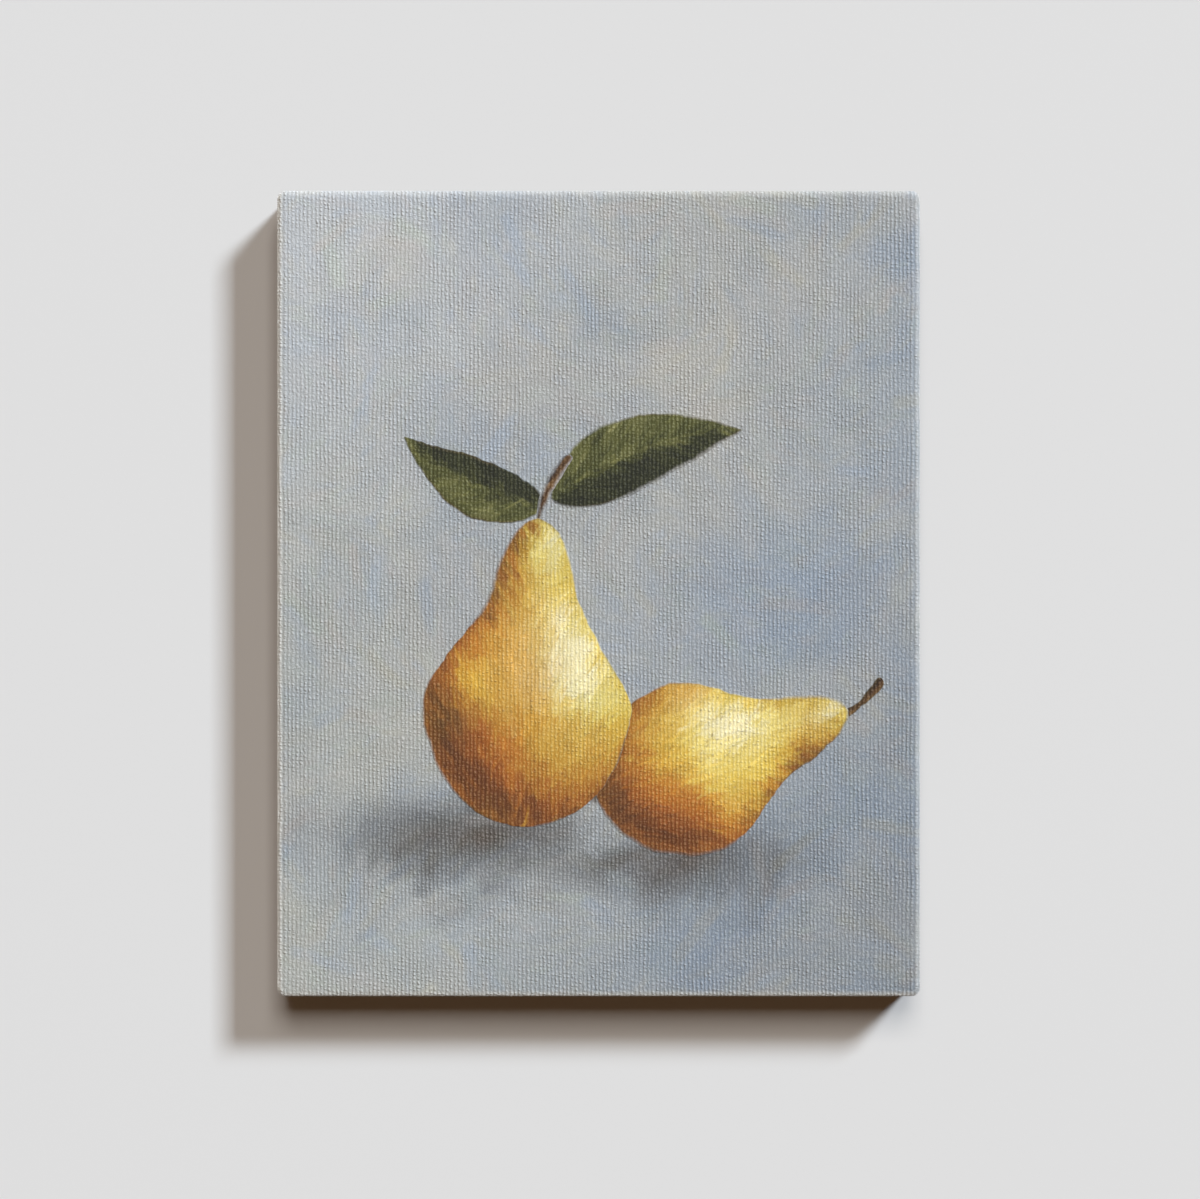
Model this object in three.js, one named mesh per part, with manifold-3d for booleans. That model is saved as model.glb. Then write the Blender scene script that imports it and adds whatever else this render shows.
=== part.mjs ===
// A small stretched artist's canvas, 8 by 10 inches, as it hangs on a wall.
// Millimetres. The painted front faces -Y, the wall is behind at +Y, and +Z is up.
// The origin is where the nail bears, midway along the underside of the top bar.

import * as THREE from "three";
import { mergeVertices } from "three/addons/utils/BufferGeometryUtils.js";
import Module from "manifold-3d";

const wasm = await Module();
wasm.setup();

// Overall size, over the cloth
const WIDTH = 204.0;
const HEIGHT = 255.6;
const CLOTH = 0.5; // primed cotton duck
const CLEAR = 0.2; // between the cloth and the wood that it is pulled over
const CORNER_ROUND = 2.4; // seen from the front
const EDGE_ROUND = 1.9; // where the cloth turns from the front to the side
const TURNOVER = 22; // cloth folded onto the back, from the outer edge
const BARE_ROUND = 1; // inner corners of the turnover
const FOLD_THICK = 0.5; // the second layer in each corner of the back
const FOLD_INSET = 2.6;
const FOLD_REACH = 20.7; // inward from the bars' outer edge
const FOLD_RUN = [9, 4]; // how much further the fold runs along the top or bottom, outside and inside

// Stretcher bars: eleven sixteenths of an inch thick and an inch and a half wide
const BAR_THICK = 17.4;
const BAR_WIDE = 38;
const BAR_CORNER_ROUND = 2.4;
const LIP_WIDE = 5.2; // the raised bead that keeps the cloth off the wood
const LIP_FLAT = [2.0, 2.8];
const LIP_FOOT = 15.4;
const LIP_COVE = [15.7, 3.2]; // where the hollow beside the bead turns
const INNER_THICK = 13.6; // at the inner edge, after the bevel
const OUTER_BACK_ROUND = 1.8;
const INNER_EASE = 0.6;
const NAIL_REACH = 30; // the nail bears within this distance of the middle
const EYE_DOWN = 85; // from the top of the bars down to a screw eye for picture wire
const EYE_REACH = 20;

// Corner joint: each bar has one tongue, and one slot for its neighbour's tongue
const MITRE_GAP = 0.1;
const TONGUE_SHORT = 0.5;
const ACROSS_TONGUE = [3.5, 6.5]; // depths from the back, top and bottom bars
const ACROSS_SLOT = [6.5, 9.8];
const UPRIGHT_TONGUE = [6.7, 9.7]; // side bars
const UPRIGHT_SLOT = [3.4, 6.7];
const SLOT_SHALLOW = 2.2; // room for the key at the outer edge
const SLOT_DEEP = 7.0; // and at the inner edge

// Corner keys: wedges driven into the slots from the inside of the frame
const KEY_THICK = 2.7;
const KEY_TIP = 12; // from the outer edge of the bar
const KEY_BUTT = 50;
const KEY_CLEAR = 0.3;

// Staples through the turned-over cloth
const STAPLE_WIDE = 10.6;
const STAPLE_LEG = 8;
const STAPLE_WIRE = 0.5;
const STAPLE_BAND = 1.2;
const STAPLE_BEND = 0.9;
const STAPLE_POINT = 0.6;
const STAPLE_LIFT = 0.1;
const HOLE_CLEAR = 0.15;
const STAPLE_FROM_EDGE = 13;
const STAPLES_ACROSS = 3;
const STAPLES_UP = 4;
const STAPLE_PITCH = 44;
const CORNER_STAPLES = [[8.5, 8], [21.5, 9.5]]; // inward from the outer corner
const CORNER_TURNS = [45, 6]; // one lies across the fold, one along it
const WANDER_ALONG = 1.5; // hand-driven staples are a little out of line
const WANDER_ACROSS = 0.8;
const WANDER_TURN = 4;

const halfBarsX = WIDTH / 2 - CLOTH - CLEAR;
const halfBarsZ = HEIGHT / 2 - CLOTH - CLEAR;
const clothBack = -CLEAR - CLOTH;
const clothFront = BAR_THICK + CLEAR + CLOTH;
const PAST = 2; // how far a cutting block runs past what it cuts
const BITE = 0.05; // and how far two that meet run into each other

const CANVAS_LOOK = new THREE.MeshStandardMaterial({ color: 0xa7aaad, roughness: 0.8, metalness: 0 });
const PINE_LOOK = new THREE.MeshStandardMaterial({ color: 0xd9b98a, roughness: 0.65, metalness: 0 });
const KEY_LOOK = new THREE.MeshStandardMaterial({ color: 0xc79f6b, roughness: 0.6, metalness: 0 });
const STAPLE_LOOK = new THREE.MeshStandardMaterial({ color: 0xb9bcc0, roughness: 0.35, metalness: 0.9 });

// Closed solids from geometry, and back
function solid(geometry) {
  const bare = geometry.clone();
  bare.deleteAttribute("normal");
  bare.deleteAttribute("uv");
  const merged = mergeVertices(bare);
  return new wasm.Manifold(new wasm.Mesh({
    numProp: 3,
    vertProperties: new Float32Array(merged.attributes.position.array),
    triVerts: new Uint32Array(merged.index.array),
  }));
}

function geometryOf(made) {
  const mesh = made.getMesh();
  const geometry = new THREE.BufferGeometry();
  geometry.setAttribute("position", new THREE.BufferAttribute(mesh.vertProperties, 3));
  geometry.setIndex(new THREE.BufferAttribute(mesh.triVerts, 1));
  return geometry;
}

// An outline drawn as seen from the front, given depth between two distances from the bars' back
function slab(outline, from, to, round = 0) {
  const geometry = new THREE.ExtrudeGeometry(outline, {
    depth: to - from - 2 * round,
    curveSegments: 4,
    bevelEnabled: round > 0,
    bevelThickness: round,
    bevelSize: round,
    bevelSegments: 4,
  });
  const back = BAR_THICK / 2 - from - round;
  return geometry.applyMatrix4(new THREE.Matrix4().set(1, 0, 0, 0, 0, 0, -1, back, 0, 1, 0, 0, 0, 0, 0, 1));
}

function roundedRectangle(halfX, halfZ, radius) {
  const outline = new THREE.Shape();
  outline.moveTo(halfX, -halfZ + radius);
  outline.absarc(halfX - radius, halfZ - radius, radius, 0, Math.PI / 2);
  outline.absarc(-halfX + radius, halfZ - radius, radius, Math.PI / 2, Math.PI);
  outline.absarc(-halfX + radius, -halfZ + radius, radius, Math.PI, 1.5 * Math.PI);
  outline.absarc(halfX - radius, -halfZ + radius, radius, 1.5 * Math.PI, 2 * Math.PI);
  return outline;
}

// The stretched cloth's outer form, or its inner form one cloth further in: a block with every edge rounded
function softBlock(inset, from, to) {
  const outline = roundedRectangle(
    WIDTH / 2 - EDGE_ROUND, HEIGHT / 2 - EDGE_ROUND, CORNER_ROUND - EDGE_ROUND);
  return slab(outline, from, to, EDGE_ROUND - inset);
}

// Points given as distances inward from one outer corner of the bars, along X and along Z
const CORNERS = [[1, 1], [-1, 1], [-1, -1], [1, -1]];

function cornerOutline([sideX, sideZ], points, swapped = false) {
  return new THREE.Shape(points.map(([first, second]) => {
    const [x, z] = swapped ? [second, first] : [first, second];
    return new THREE.Vector2(sideX * (halfBarsX - x), sideZ * (halfBarsZ - z));
  }));
}

function keyRoom(along) {
  return BAR_WIDE + SLOT_SHALLOW + (SLOT_DEEP - SLOT_SHALLOW) * along / BAR_WIDE;
}

// What is cut from the ends of a bar: the mitre, the slot, and the short end of the tongue
function endCuts(corner, upright) {
  const [tongue, slot] = upright ? [UPRIGHT_TONGUE, UPRIGHT_SLOT] : [ACROSS_TONGUE, ACROSS_SLOT];
  const near = Math.min(tongue[0], slot[0]);
  const far = Math.max(tongue[1], slot[1]);
  const end = BAR_WIDE + PAST;
  const mitre = [[MITRE_GAP - PAST, -PAST], [MITRE_GAP + end, end], [-PAST, end]];
  const floor = [[-PAST, -PAST], [keyRoom(-PAST), -PAST], [keyRoom(end), end], [-PAST, end]];
  const tip = [[-PAST, -PAST], [TONGUE_SHORT, -PAST], [TONGUE_SHORT, end], [-PAST, end]];
  return [
    slab(cornerOutline(corner, mitre, upright), -PAST, near),
    slab(cornerOutline(corner, floor, upright), slot[0] - BITE, slot[1] + BITE),
    slab(cornerOutline(corner, tip, upright), tongue[0] - BITE, tongue[1] + BITE),
    slab(cornerOutline(corner, mitre, upright), far, BAR_THICK + PAST),
  ];
}

// The bar's section, as depth from the back against distance from the outer edge
function barSection() {
  const section = new THREE.Shape();
  const lipRound = LIP_FLAT[0];
  section.moveTo(0, OUTER_BACK_ROUND);
  section.absarc(OUTER_BACK_ROUND, OUTER_BACK_ROUND, OUTER_BACK_ROUND, Math.PI, 1.5 * Math.PI);
  section.absarc(BAR_THICK - lipRound, lipRound, lipRound, 1.5 * Math.PI, 2 * Math.PI);
  section.lineTo(BAR_THICK, LIP_FLAT[1]);
  section.quadraticCurveTo(...LIP_COVE, LIP_FOOT, LIP_WIDE);
  section.lineTo(INNER_THICK, BAR_WIDE - INNER_EASE);
  section.lineTo(INNER_THICK - INNER_EASE, BAR_WIDE);
  section.lineTo(INNER_EASE, BAR_WIDE);
  section.lineTo(0, BAR_WIDE - INNER_EASE);
  return section;
}

// A bar of the frame: which side it closes, and the bar's own outward direction
const SIDES = {
  top: { out: [0, 1], half: halfBarsZ, length: 2 * halfBarsX },
  right: { out: [1, 0], half: halfBarsX, length: 2 * halfBarsZ },
  bottom: { out: [0, -1], half: halfBarsZ, length: 2 * halfBarsX },
  left: { out: [-1, 0], half: halfBarsX, length: 2 * halfBarsZ },
};

function barBlank({ out: [outX, outZ], half, length }) {
  const geometry = new THREE.ExtrudeGeometry(barSection(), {
    depth: length, curveSegments: 4, bevelEnabled: false,
  });
  // the section's own axes run forwards and inwards, and the length runs to the outward side's right
  return geometry.applyMatrix4(new THREE.Matrix4().set(
    0, -outX, outZ, outX * half - outZ * length / 2,
    -1, 0, 0, BAR_THICK / 2,
    0, -outZ, -outX, outZ * half + outX * length / 2,
    0, 0, 0, 1));
}

function stretcherBar(side, holes) {
  const upright = side.out[0] !== 0;
  let bar = solid(barBlank(side));
  bar = bar.intersect(solid(slab(
    roundedRectangle(halfBarsX, halfBarsZ, BAR_CORNER_ROUND), -PAST, BAR_THICK + PAST)));
  for (const corner of CORNERS) {
    if (corner[0] * side.out[0] + corner[1] * side.out[1] <= 0) continue;
    for (const cut of endCuts(corner, upright)) bar = bar.subtract(solid(cut));
  }
  for (const hole of holes) bar = bar.subtract(hole);
  return upright
    ? scored(geometryOf(bar), "z", [halfBarsZ - EYE_DOWN - EYE_REACH, halfBarsZ - EYE_DOWN + EYE_REACH])
    : scored(geometryOf(bar), "x", [-NAIL_REACH, NAIL_REACH]);
}

// Splits the triangles that cross a plane, so that a stretch of a long flat side is a face of its own
function scored(geometry, axis, places) {
  let triangles = [];
  const corners = geometry.toNonIndexed().attributes.position;
  for (let i = 0; i < corners.count; i += 3) {
    triangles.push([0, 1, 2].map((k) => new THREE.Vector3().fromBufferAttribute(corners, i + k)));
  }
  for (const place of places) {
    triangles = triangles.flatMap((triangle) => [1, -1].flatMap((side) => {
      const kept = clipped(triangle, axis, place, side);
      return kept.slice(2).map((point, k) => [kept[0], kept[k + 1], point]);
    }));
  }
  return new THREE.BufferGeometry().setFromPoints(triangles.flat());
}

// The part of a polygon on one side of a plane, with its corners in the same order
function clipped(polygon, axis, place, side) {
  const kept = [];
  polygon.forEach((point, i) => {
    const next = polygon[(i + 1) % polygon.length];
    const [here, there] = [side * (point[axis] - place), side * (next[axis] - place)];
    if (here >= 0) kept.push(point);
    if (here * there < 0) kept.push(point.clone().lerp(next, here / (here - there)));
  });
  return kept.length > 2 ? kept : [];
}

// The cloth: front, sides and turnover in one skin, with a folded layer in each back corner
function canvasSkin(holes) {
  let skin = solid(softBlock(0, clothBack, clothFront));
  skin = skin.subtract(solid(softBlock(CLOTH, clothBack + CLOTH, clothFront - CLOTH)));
  const bareX = WIDTH / 2 - TURNOVER;
  const bareZ = HEIGHT / 2 - TURNOVER;
  skin = skin.subtract(solid(slab(roundedRectangle(bareX, bareZ, BARE_ROUND), clothBack - PAST, PAST)));
  const fold = [
    [FOLD_INSET, FOLD_INSET], [FOLD_REACH + FOLD_RUN[0], FOLD_INSET],
    [FOLD_REACH + FOLD_RUN[1], FOLD_REACH], [FOLD_REACH, FOLD_REACH],
  ];
  for (const corner of CORNERS) {
    const layer = slab(cornerOutline(corner, fold), clothBack - FOLD_THICK, clothBack + CLOTH / 2);
    skin = skin.add(solid(layer));
  }
  for (const hole of holes) skin = skin.subtract(hole);
  return geometryOf(skin);
}

// A wedge for one corner, in the side bar's slot or in the top or bottom bar's
function cornerKey(corner, inUpright) {
  const slot = inUpright ? UPRIGHT_SLOT : ACROSS_SLOT;
  const middle = (slot[0] + slot[1]) / 2;
  const straight = BAR_WIDE + KEY_CLEAR;
  const outline = [
    [KEY_TIP, straight], [KEY_BUTT, straight],
    [KEY_BUTT, keyRoom(KEY_BUTT) - KEY_CLEAR], [KEY_TIP, keyRoom(KEY_TIP) - KEY_CLEAR],
  ];
  return slab(cornerOutline(corner, outline, !inUpright), middle - KEY_THICK / 2, middle + KEY_THICK / 2);
}

// A staple with its crown on the back, across X, and its legs running forwards
function stapleGeometry() {
  const half = STAPLE_WIDE / 2;
  const inner = half - STAPLE_WIRE;
  const bend = STAPLE_BEND - STAPLE_WIRE;
  const outline = new THREE.Shape();
  outline.moveTo(-half, -STAPLE_LEG);
  outline.absarc(-half + STAPLE_BEND, -STAPLE_BEND, STAPLE_BEND, Math.PI, Math.PI / 2, true);
  outline.absarc(half - STAPLE_BEND, -STAPLE_BEND, STAPLE_BEND, Math.PI / 2, 0, true);
  outline.lineTo(half, -STAPLE_LEG);
  outline.lineTo(inner, STAPLE_POINT - STAPLE_LEG);
  outline.absarc(half - STAPLE_BEND, -STAPLE_BEND, bend, 0, Math.PI / 2, false);
  outline.absarc(-half + STAPLE_BEND, -STAPLE_BEND, bend, Math.PI / 2, Math.PI, false);
  outline.lineTo(-inner, STAPLE_POINT - STAPLE_LEG);
  const geometry = new THREE.ExtrudeGeometry(outline, {
    depth: STAPLE_BAND, curveSegments: 2, bevelEnabled: false,
  });
  return geometry.translate(0, STAPLE_WIRE, -STAPLE_BAND / 2);
}

function legHoles(staple) {
  const room = 2 * HOLE_CLEAR;
  const deep = STAPLE_LEG + 2 * HOLE_CLEAR;
  return [-1, 1].map((side) => {
    const block = new THREE.BoxGeometry(
      STAPLE_WIRE + room, deep + PAST, STAPLE_BAND + room);
    block.translate(side * (STAPLE_WIDE - STAPLE_WIRE) / 2, (PAST - deep) / 2, 0);
    staple.updateMatrix();
    return solid(block.applyMatrix4(staple.matrix));
  });
}

function staple(x, z, turn, layer) {
  const mesh = new THREE.Mesh(stapleGeometry(), STAPLE_LOOK);
  mesh.position.set(x, BAR_THICK / 2 - clothBack + layer + STAPLE_LIFT, z);
  mesh.rotation.y = THREE.MathUtils.degToRad(turn);
  return mesh;
}

// Three rhythms that don't keep step, each between -1 and 1, for the place and turn of a staple
function wander(step) {
  return { along: Math.sin(13 * step + 4), across: Math.sin(7 * step + 1), turn: Math.sin(5 * step + 2) };
}

function stapleRows() {
  const rows = [];
  const rowX = WIDTH / 2 - STAPLE_FROM_EDGE;
  const rowZ = HEIGHT / 2 - STAPLE_FROM_EDGE;
  for (const side of [-1, 1]) {
    for (let i = 0; i < STAPLES_ACROSS; i += 1) {
      const { along, across, turn } = wander(rows.length);
      const x = (i - (STAPLES_ACROSS - 1) / 2) * STAPLE_PITCH + WANDER_ALONG * along;
      rows.push(staple(x, side * rowZ + WANDER_ACROSS * across, WANDER_TURN * turn, 0));
    }
    for (let i = 0; i < STAPLES_UP; i += 1) {
      const { along, across, turn } = wander(rows.length);
      const z = (i - (STAPLES_UP - 1) / 2) * STAPLE_PITCH + WANDER_ALONG * along;
      rows.push(staple(side * rowX + WANDER_ACROSS * across, z, 90 + WANDER_TURN * turn, 0));
    }
  }
  for (const [sideX, sideZ] of CORNERS) {
    CORNER_STAPLES.forEach(([inX, inZ], i) => {
      const turn = sideX * sideZ * CORNER_TURNS[i];
      rows.push(staple(sideX * (WIDTH / 2 - inX), sideZ * (HEIGHT / 2 - inZ), turn, FOLD_THICK));
    });
  }
  return rows;
}

function stretchedCanvas() {
  const frame = new THREE.Group();
  const staples = stapleRows();
  const holes = staples.flatMap(legHoles);

  const canvas = new THREE.Mesh(canvasSkin(holes), CANVAS_LOOK);
  canvas.name = "canvas";
  frame.add(canvas);

  for (const [name, side] of Object.entries(SIDES)) {
    const bar = new THREE.Mesh(stretcherBar(side, holes), PINE_LOOK);
    bar.name = `stretcher_bar_${name}`;
    frame.add(bar);
  }

  let keys = 0;
  for (const corner of CORNERS) {
    for (const inUpright of [true, false]) {
      const key = new THREE.Mesh(cornerKey(corner, inUpright), KEY_LOOK);
      keys += 1;
      key.name = `corner_key_${keys}`;
      frame.add(key);
    }
  }

  staples.forEach((mesh, i) => {
    mesh.name = `staple_${String(i + 1).padStart(2, "0")}`;
    frame.add(mesh);
  });

  // the nail bears on the top bar's inner edge
  frame.position.z = BAR_WIDE - halfBarsZ;
  const object = new THREE.Group();
  object.add(frame);
  return object;
}

export default stretchedCanvas();
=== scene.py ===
import math
from functools import partialmethod

import bpy
import numpy as np
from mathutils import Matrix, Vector


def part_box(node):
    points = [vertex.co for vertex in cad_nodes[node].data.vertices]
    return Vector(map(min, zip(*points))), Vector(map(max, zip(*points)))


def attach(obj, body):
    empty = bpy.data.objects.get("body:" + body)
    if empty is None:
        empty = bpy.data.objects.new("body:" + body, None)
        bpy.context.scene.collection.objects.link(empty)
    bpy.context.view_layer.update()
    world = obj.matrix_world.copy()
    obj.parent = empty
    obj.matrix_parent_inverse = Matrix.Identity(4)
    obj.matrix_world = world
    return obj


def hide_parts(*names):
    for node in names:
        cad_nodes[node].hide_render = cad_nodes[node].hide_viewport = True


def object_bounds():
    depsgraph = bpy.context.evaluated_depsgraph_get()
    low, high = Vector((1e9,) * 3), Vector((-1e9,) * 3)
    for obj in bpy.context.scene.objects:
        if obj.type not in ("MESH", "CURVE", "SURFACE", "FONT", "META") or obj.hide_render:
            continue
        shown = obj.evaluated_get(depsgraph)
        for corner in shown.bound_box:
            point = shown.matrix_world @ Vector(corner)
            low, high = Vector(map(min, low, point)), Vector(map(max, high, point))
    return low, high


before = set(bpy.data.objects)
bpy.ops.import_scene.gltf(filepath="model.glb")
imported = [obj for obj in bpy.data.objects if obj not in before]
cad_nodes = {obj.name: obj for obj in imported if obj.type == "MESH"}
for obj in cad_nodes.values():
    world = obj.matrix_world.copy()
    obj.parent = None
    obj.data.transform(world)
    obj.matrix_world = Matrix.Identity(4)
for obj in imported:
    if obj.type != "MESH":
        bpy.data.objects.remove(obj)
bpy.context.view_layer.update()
scene = bpy.context.scene

# Stretcher bars
# Four planed pine mouldings, mitred and slotted together at the corners without glue.
# The wood is bare, and shows inside the turned-over cloth with its grain along each bar.
MM = 0.001
WOOD_RELIEF = 0.10 * MM
# Colours, rings to the metre, how far a knot reaches in its part of the plank, how much the rings show
PINE = {"pale": (0.73, 0.53, 0.31, 1), "dark": (0.52, 0.29, 0.12, 1), "knot_colour": (0.17, 0.075, 0.03, 1),
        "rings": 430, "knot_reach": 0.34, "ring_share": 0.75}
# The grain's turn about Y, and the place in the plank that each bar is cut from
BAR_GRAIN = {
    "top": (0, (0.31, 0.012, 0.005)),
    "right": (90, (0.77, 0.028, -0.004)),
    "bottom": (0, (1.36, -0.019, 0.161)),
    "left": (90, (2.05, 0.007, 0.012)),
}


class Signal:
    """What a node puts out. Signals are added and multiplied like numbers, which adds nodes to their tree."""

    def __init__(self, node, output=0):
        self.node, self.output, self.tree = node, output, node.id_data

    def __getitem__(self, output):
        return Signal(self.node, output)

    def socket(self):
        return self.node.outputs[self.output]

    def do(self, operation, *others, output=0):
        three = self.socket().type == "VECTOR"
        kind = "ShaderNodeVectorMath" if three else "ShaderNodeMath"
        values = [(value,) * 3 if three and isinstance(value, float) else value for value in (self, *others)]
        return put(self.tree, kind, dict(enumerate(values)), output, operation=operation)

    __add__ = partialmethod(do, "ADD")
    __sub__ = partialmethod(do, "SUBTRACT")
    __mul__ = partialmethod(do, "MULTIPLY")
    __truediv__ = partialmethod(do, "DIVIDE")


def feed(node, inputs=None, **named):
    """Links a node's inputs to signals, or sets them to values"""
    named = {name.replace("_", " "): value for name, value in named.items()}
    for name, value in {**(inputs or {}), **named}.items():
        if isinstance(value, Signal):
            value.tree.links.new(value.socket(), node.inputs[name])
        else:
            node.inputs[name].default_value = value


def put(tree, kind, inputs=None, output=0, **settings):
    """The signal of a new node that has these settings and inputs"""
    node = tree.nodes.new(kind)
    for name, value in settings.items():
        setattr(node, name, value)
    feed(node, inputs)
    return Signal(node, output)


def noise(place, detail=2.0, roughness=0.5):
    """Soft noise with swells one unit apart in the place that it is given"""
    return put(place.tree, "ShaderNodeTexNoise", {
        "Vector": place, "Scale": 1.0, "Detail": detail, "Roughness": roughness})


def eased(value, low, high, out_low=0.0, out_high=1.0):
    """The value carried smoothly from one range into another, and held at both ends"""
    inputs = dict(enumerate((value, low, high, out_low, out_high)))
    return put(value.tree, "ShaderNodeMapRange", inputs, interpolation_type="SMOOTHSTEP")


def mixed(share, first, second):
    return put(share.tree, "ShaderNodeMix", {0: share, 6: first, 7: second}, 2, data_type="RGBA")


def combined(x, y):
    return put(x.tree, "ShaderNodeCombineXYZ", {0: x, 1: y})


def relief(height, depth):
    """A surface normal from a height between 0 and 1 and the real depth that it stands for"""
    return put(height.tree, "ShaderNodeBump", {"Height": height, "Distance": depth})


def object_place(tree):
    return put(tree, "ShaderNodeTexCoord", output="Object")


def new_group(name, inputs, outputs):
    tree = bpy.data.node_groups.new(name, "ShaderNodeTree")
    for socket in inputs + outputs:
        tree.interface.new_socket(
            socket, in_out="OUTPUT" if socket in outputs else "INPUT",
            socket_type="NodeSocketVector" if socket == "Place" else "NodeSocketFloat")
    return Signal(tree.nodes.new("NodeGroupInput"))


def end_group(given, **results):
    feed(given.tree.nodes.new("NodeGroupOutput"), **results)
    return given.tree


def grouped(tree, group, **inputs):
    node = tree.nodes.new("ShaderNodeGroup")
    node.node_tree = group
    feed(node, **inputs)
    return Signal(node)


def new_material(name):
    material = bpy.data.materials.new(name)
    material.use_nodes = True
    return material, material.node_tree, material.node_tree.nodes["Principled BSDF"]


# Rings cut lengthways, long fibres and a few knots, with the grain along the place's X
given = new_group("wood_grain", ["Place", "Rings", "Knot Reach"], ["Ring", "Fibre", "Knot"])
knot_cell = put(given.tree, "ShaderNodeTexVoronoi", {
    "Vector": given["Place"] * (7.0, 14.0, 14.0), "Scale": 1.0}, "Distance")
knot = eased(knot_cell, 0.0, given["Knot Reach"], 1.0, 0.0)
swell = noise(given["Place"] * (5.0, 30.0, 30.0), 3.0)
off_heart = (given["Place"] * (0.05, 1.0, 1.0) + (0.0, 0.031, 0.058)).do("LENGTH", output="Value")
ring_turn = ((off_heart + swell * 0.006 + knot * 0.007) * given["Rings"]).do("FRACT")
ring = eased(ring_turn, 0.2, 0.86) * eased(ring_turn, 0.9, 1.0, 1.0, 0.0)
fibre = noise(given["Place"] * (45.0, 1900.0, 1900.0), 4.0, 0.6)
wood_grain = end_group(given, Ring=ring, Fibre=fibre, Knot=knot)


def wood(name, turn, shift, pale, dark, knot_colour, rings, knot_reach, ring_share):
    """Bare planed wood with its grain along X, or along Z when turned"""
    material, tree, shader = new_material(name)
    place = put(tree, "ShaderNodeMapping", {
        "Vector": object_place(tree), "Rotation": (0, math.radians(turn), 0), "Location": shift})
    grain = grouped(tree, wood_grain, Place=place, Rings=rings, Knot_Reach=knot_reach)
    tone = mixed(grain["Ring"] * ring_share, pale, dark)
    tone = mixed(eased(grain["Fibre"], 0.3, 0.72) * 0.22, tone, dark)
    tone = mixed(eased(grain["Knot"], 0.55, 0.9), tone, knot_colour)
    height = grain["Ring"] * 0.45 + grain["Fibre"] * 0.55
    feed(shader, Base_Color=tone, Roughness=grain["Fibre"] * 0.25 + 0.5,
         Normal=relief(height, WOOD_RELIEF), Specular_IOR_Level=0.35)
    return material


def refinish(node_name, material):
    slots = cad_nodes[node_name].data.materials
    slots.clear()
    slots.append(material)


for side, (turn, shift) in BAR_GRAIN.items():
    refinish(f"stretcher_bar_{side}", wood(f"pine_{side}", turn, shift, **PINE))

# Corner keys
# Thin sawn wedges of close-grained beech, two to a corner, tapped into the slots to spread the joints.
# The odd ones lie along the top or bottom bar and the even ones along a side bar.
KEY_COUNT = 8
BEECH = {"pale": (0.62, 0.41, 0.25, 1), "dark": (0.43, 0.24, 0.12, 1), "knot_colour": (0.43, 0.24, 0.12, 1),
         "rings": 900, "knot_reach": 0.05, "ring_share": 0.4}
for number in range(1, KEY_COUNT + 1):
    turn = 0 if number % 2 else 90
    shift = (0.23 * number, 0.011 * number, 0.017 * number)
    refinish(f"corner_key_{number}", wood(f"beech_{number}", turn, shift, **BEECH))

# Cotton canvas
# One piece of cotton duck, primed white outside and raw inside, stretched over the bars by hand.
# It turns over onto the back, where it is pleated at the corners, and its edge is cut with shears.
canvas_low, canvas_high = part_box("canvas")
FRONT = canvas_low.y
BACK = -FRONT
MIDDLE = (canvas_low.z + canvas_high.z) / 2
HALF_WIDE = canvas_high.x
HALF_HIGH = canvas_high.z - MIDDLE
CLOTH_THICK = 0.5 * MM
PAINT_THICK = 0.12 * MM  # primer and paint on the front, inside the cloth's outer form
ROUND_OVER, ROUND_DOWN = 2.4 * MM, 1.1 * MM  # the front edge's rounding, over the front and down the side
EDGE_ROUND = 1.3 * MM  # the back edge's
FLAT_CORNER = 0.3 * MM
TURNOVER = 22 * MM
FLAT_X = HALF_WIDE - ROUND_OVER
FLAT_Z = HALF_HIGH - ROUND_OVER
# Cloth that goes round the front edge, down the side and round the back edge
FRONT_TURN = 2.84 * MM
SIDE = BACK - FRONT - ROUND_DOWN - EDGE_ROUND
BACK_TURN = EDGE_ROUND * math.pi / 2
ONTO_BACK = FRONT_TURN + SIDE + BACK_TURN
FULL_WRAP = ONTO_BACK + TURNOVER - EDGE_ROUND
CANVAS_CELLS = (150, 190)
CORNER_STEPS = 6
FRONT_RINGS, SIDE_RINGS, BACK_RINGS, TURNOVER_RINGS = 9, 8, 5, 14
SHEARED = ((0.5 * MM, 4, 5), (0.2 * MM, 1.1, 6))  # how far the cut edge wanders, in how many points, seed
EDGE_LIFT = 0.3 * MM  # the cut edge stands up a little between the staples
LIFTED = 14 * MM  # how much of the turnover stands up, from its cut edge
EDGE_WAVES = (0.12 * MM, 9 * MM)  # its waves' height and length
STAPLE_DENT = 0.16 * MM
DENT_WIDE = 3.5 * MM
BOTTOM, RIGHT, TOP, LEFT = range(4)
PLEAT_THICK = 0.4 * MM
# On a piece's map: room for the thin walls round it, and where its hidden parts lie and how small they are
WALL_ROOM = 0.3 * MM
HIDDEN_SPOT = (0.93, 0.5)
HIDDEN_SCALE = 0.12
UNDER_SCALE = 0.05
PLEAT_SPOT = (0.96, 0.2)
PLEAT_INSET = 2.6 * MM
PLEAT_REACH = 20.7 * MM
PLEAT_ASIDE = 4 * MM  # how far past the flat front its cloth lay
PLEAT_CELLS = (34, 18)
PLEAT_START = 1.5 * MM  # past the front edge's rounding
PLEAT_NARROW = 1.2 * MM  # its width there
PLEAT_SUNK = 0.15 * MM  # its underside, into the cloth
PLEAT_RUN = (9 * MM, 4 * MM)
RIB_PITCH, WEFT_PITCH = 1.282, 1.24  # mm, like the two below
WAVER, JOLT = 1.3, 0.6  # how far a rib strays from its line, slowly and quickly
WEAVE_DEPTH = 0.15 * MM
# Primer and raw cotton, each with a darker colour for the weave's valleys that is painted shade
PRIMER = (0.78, 0.77, 0.73, 1)
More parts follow.
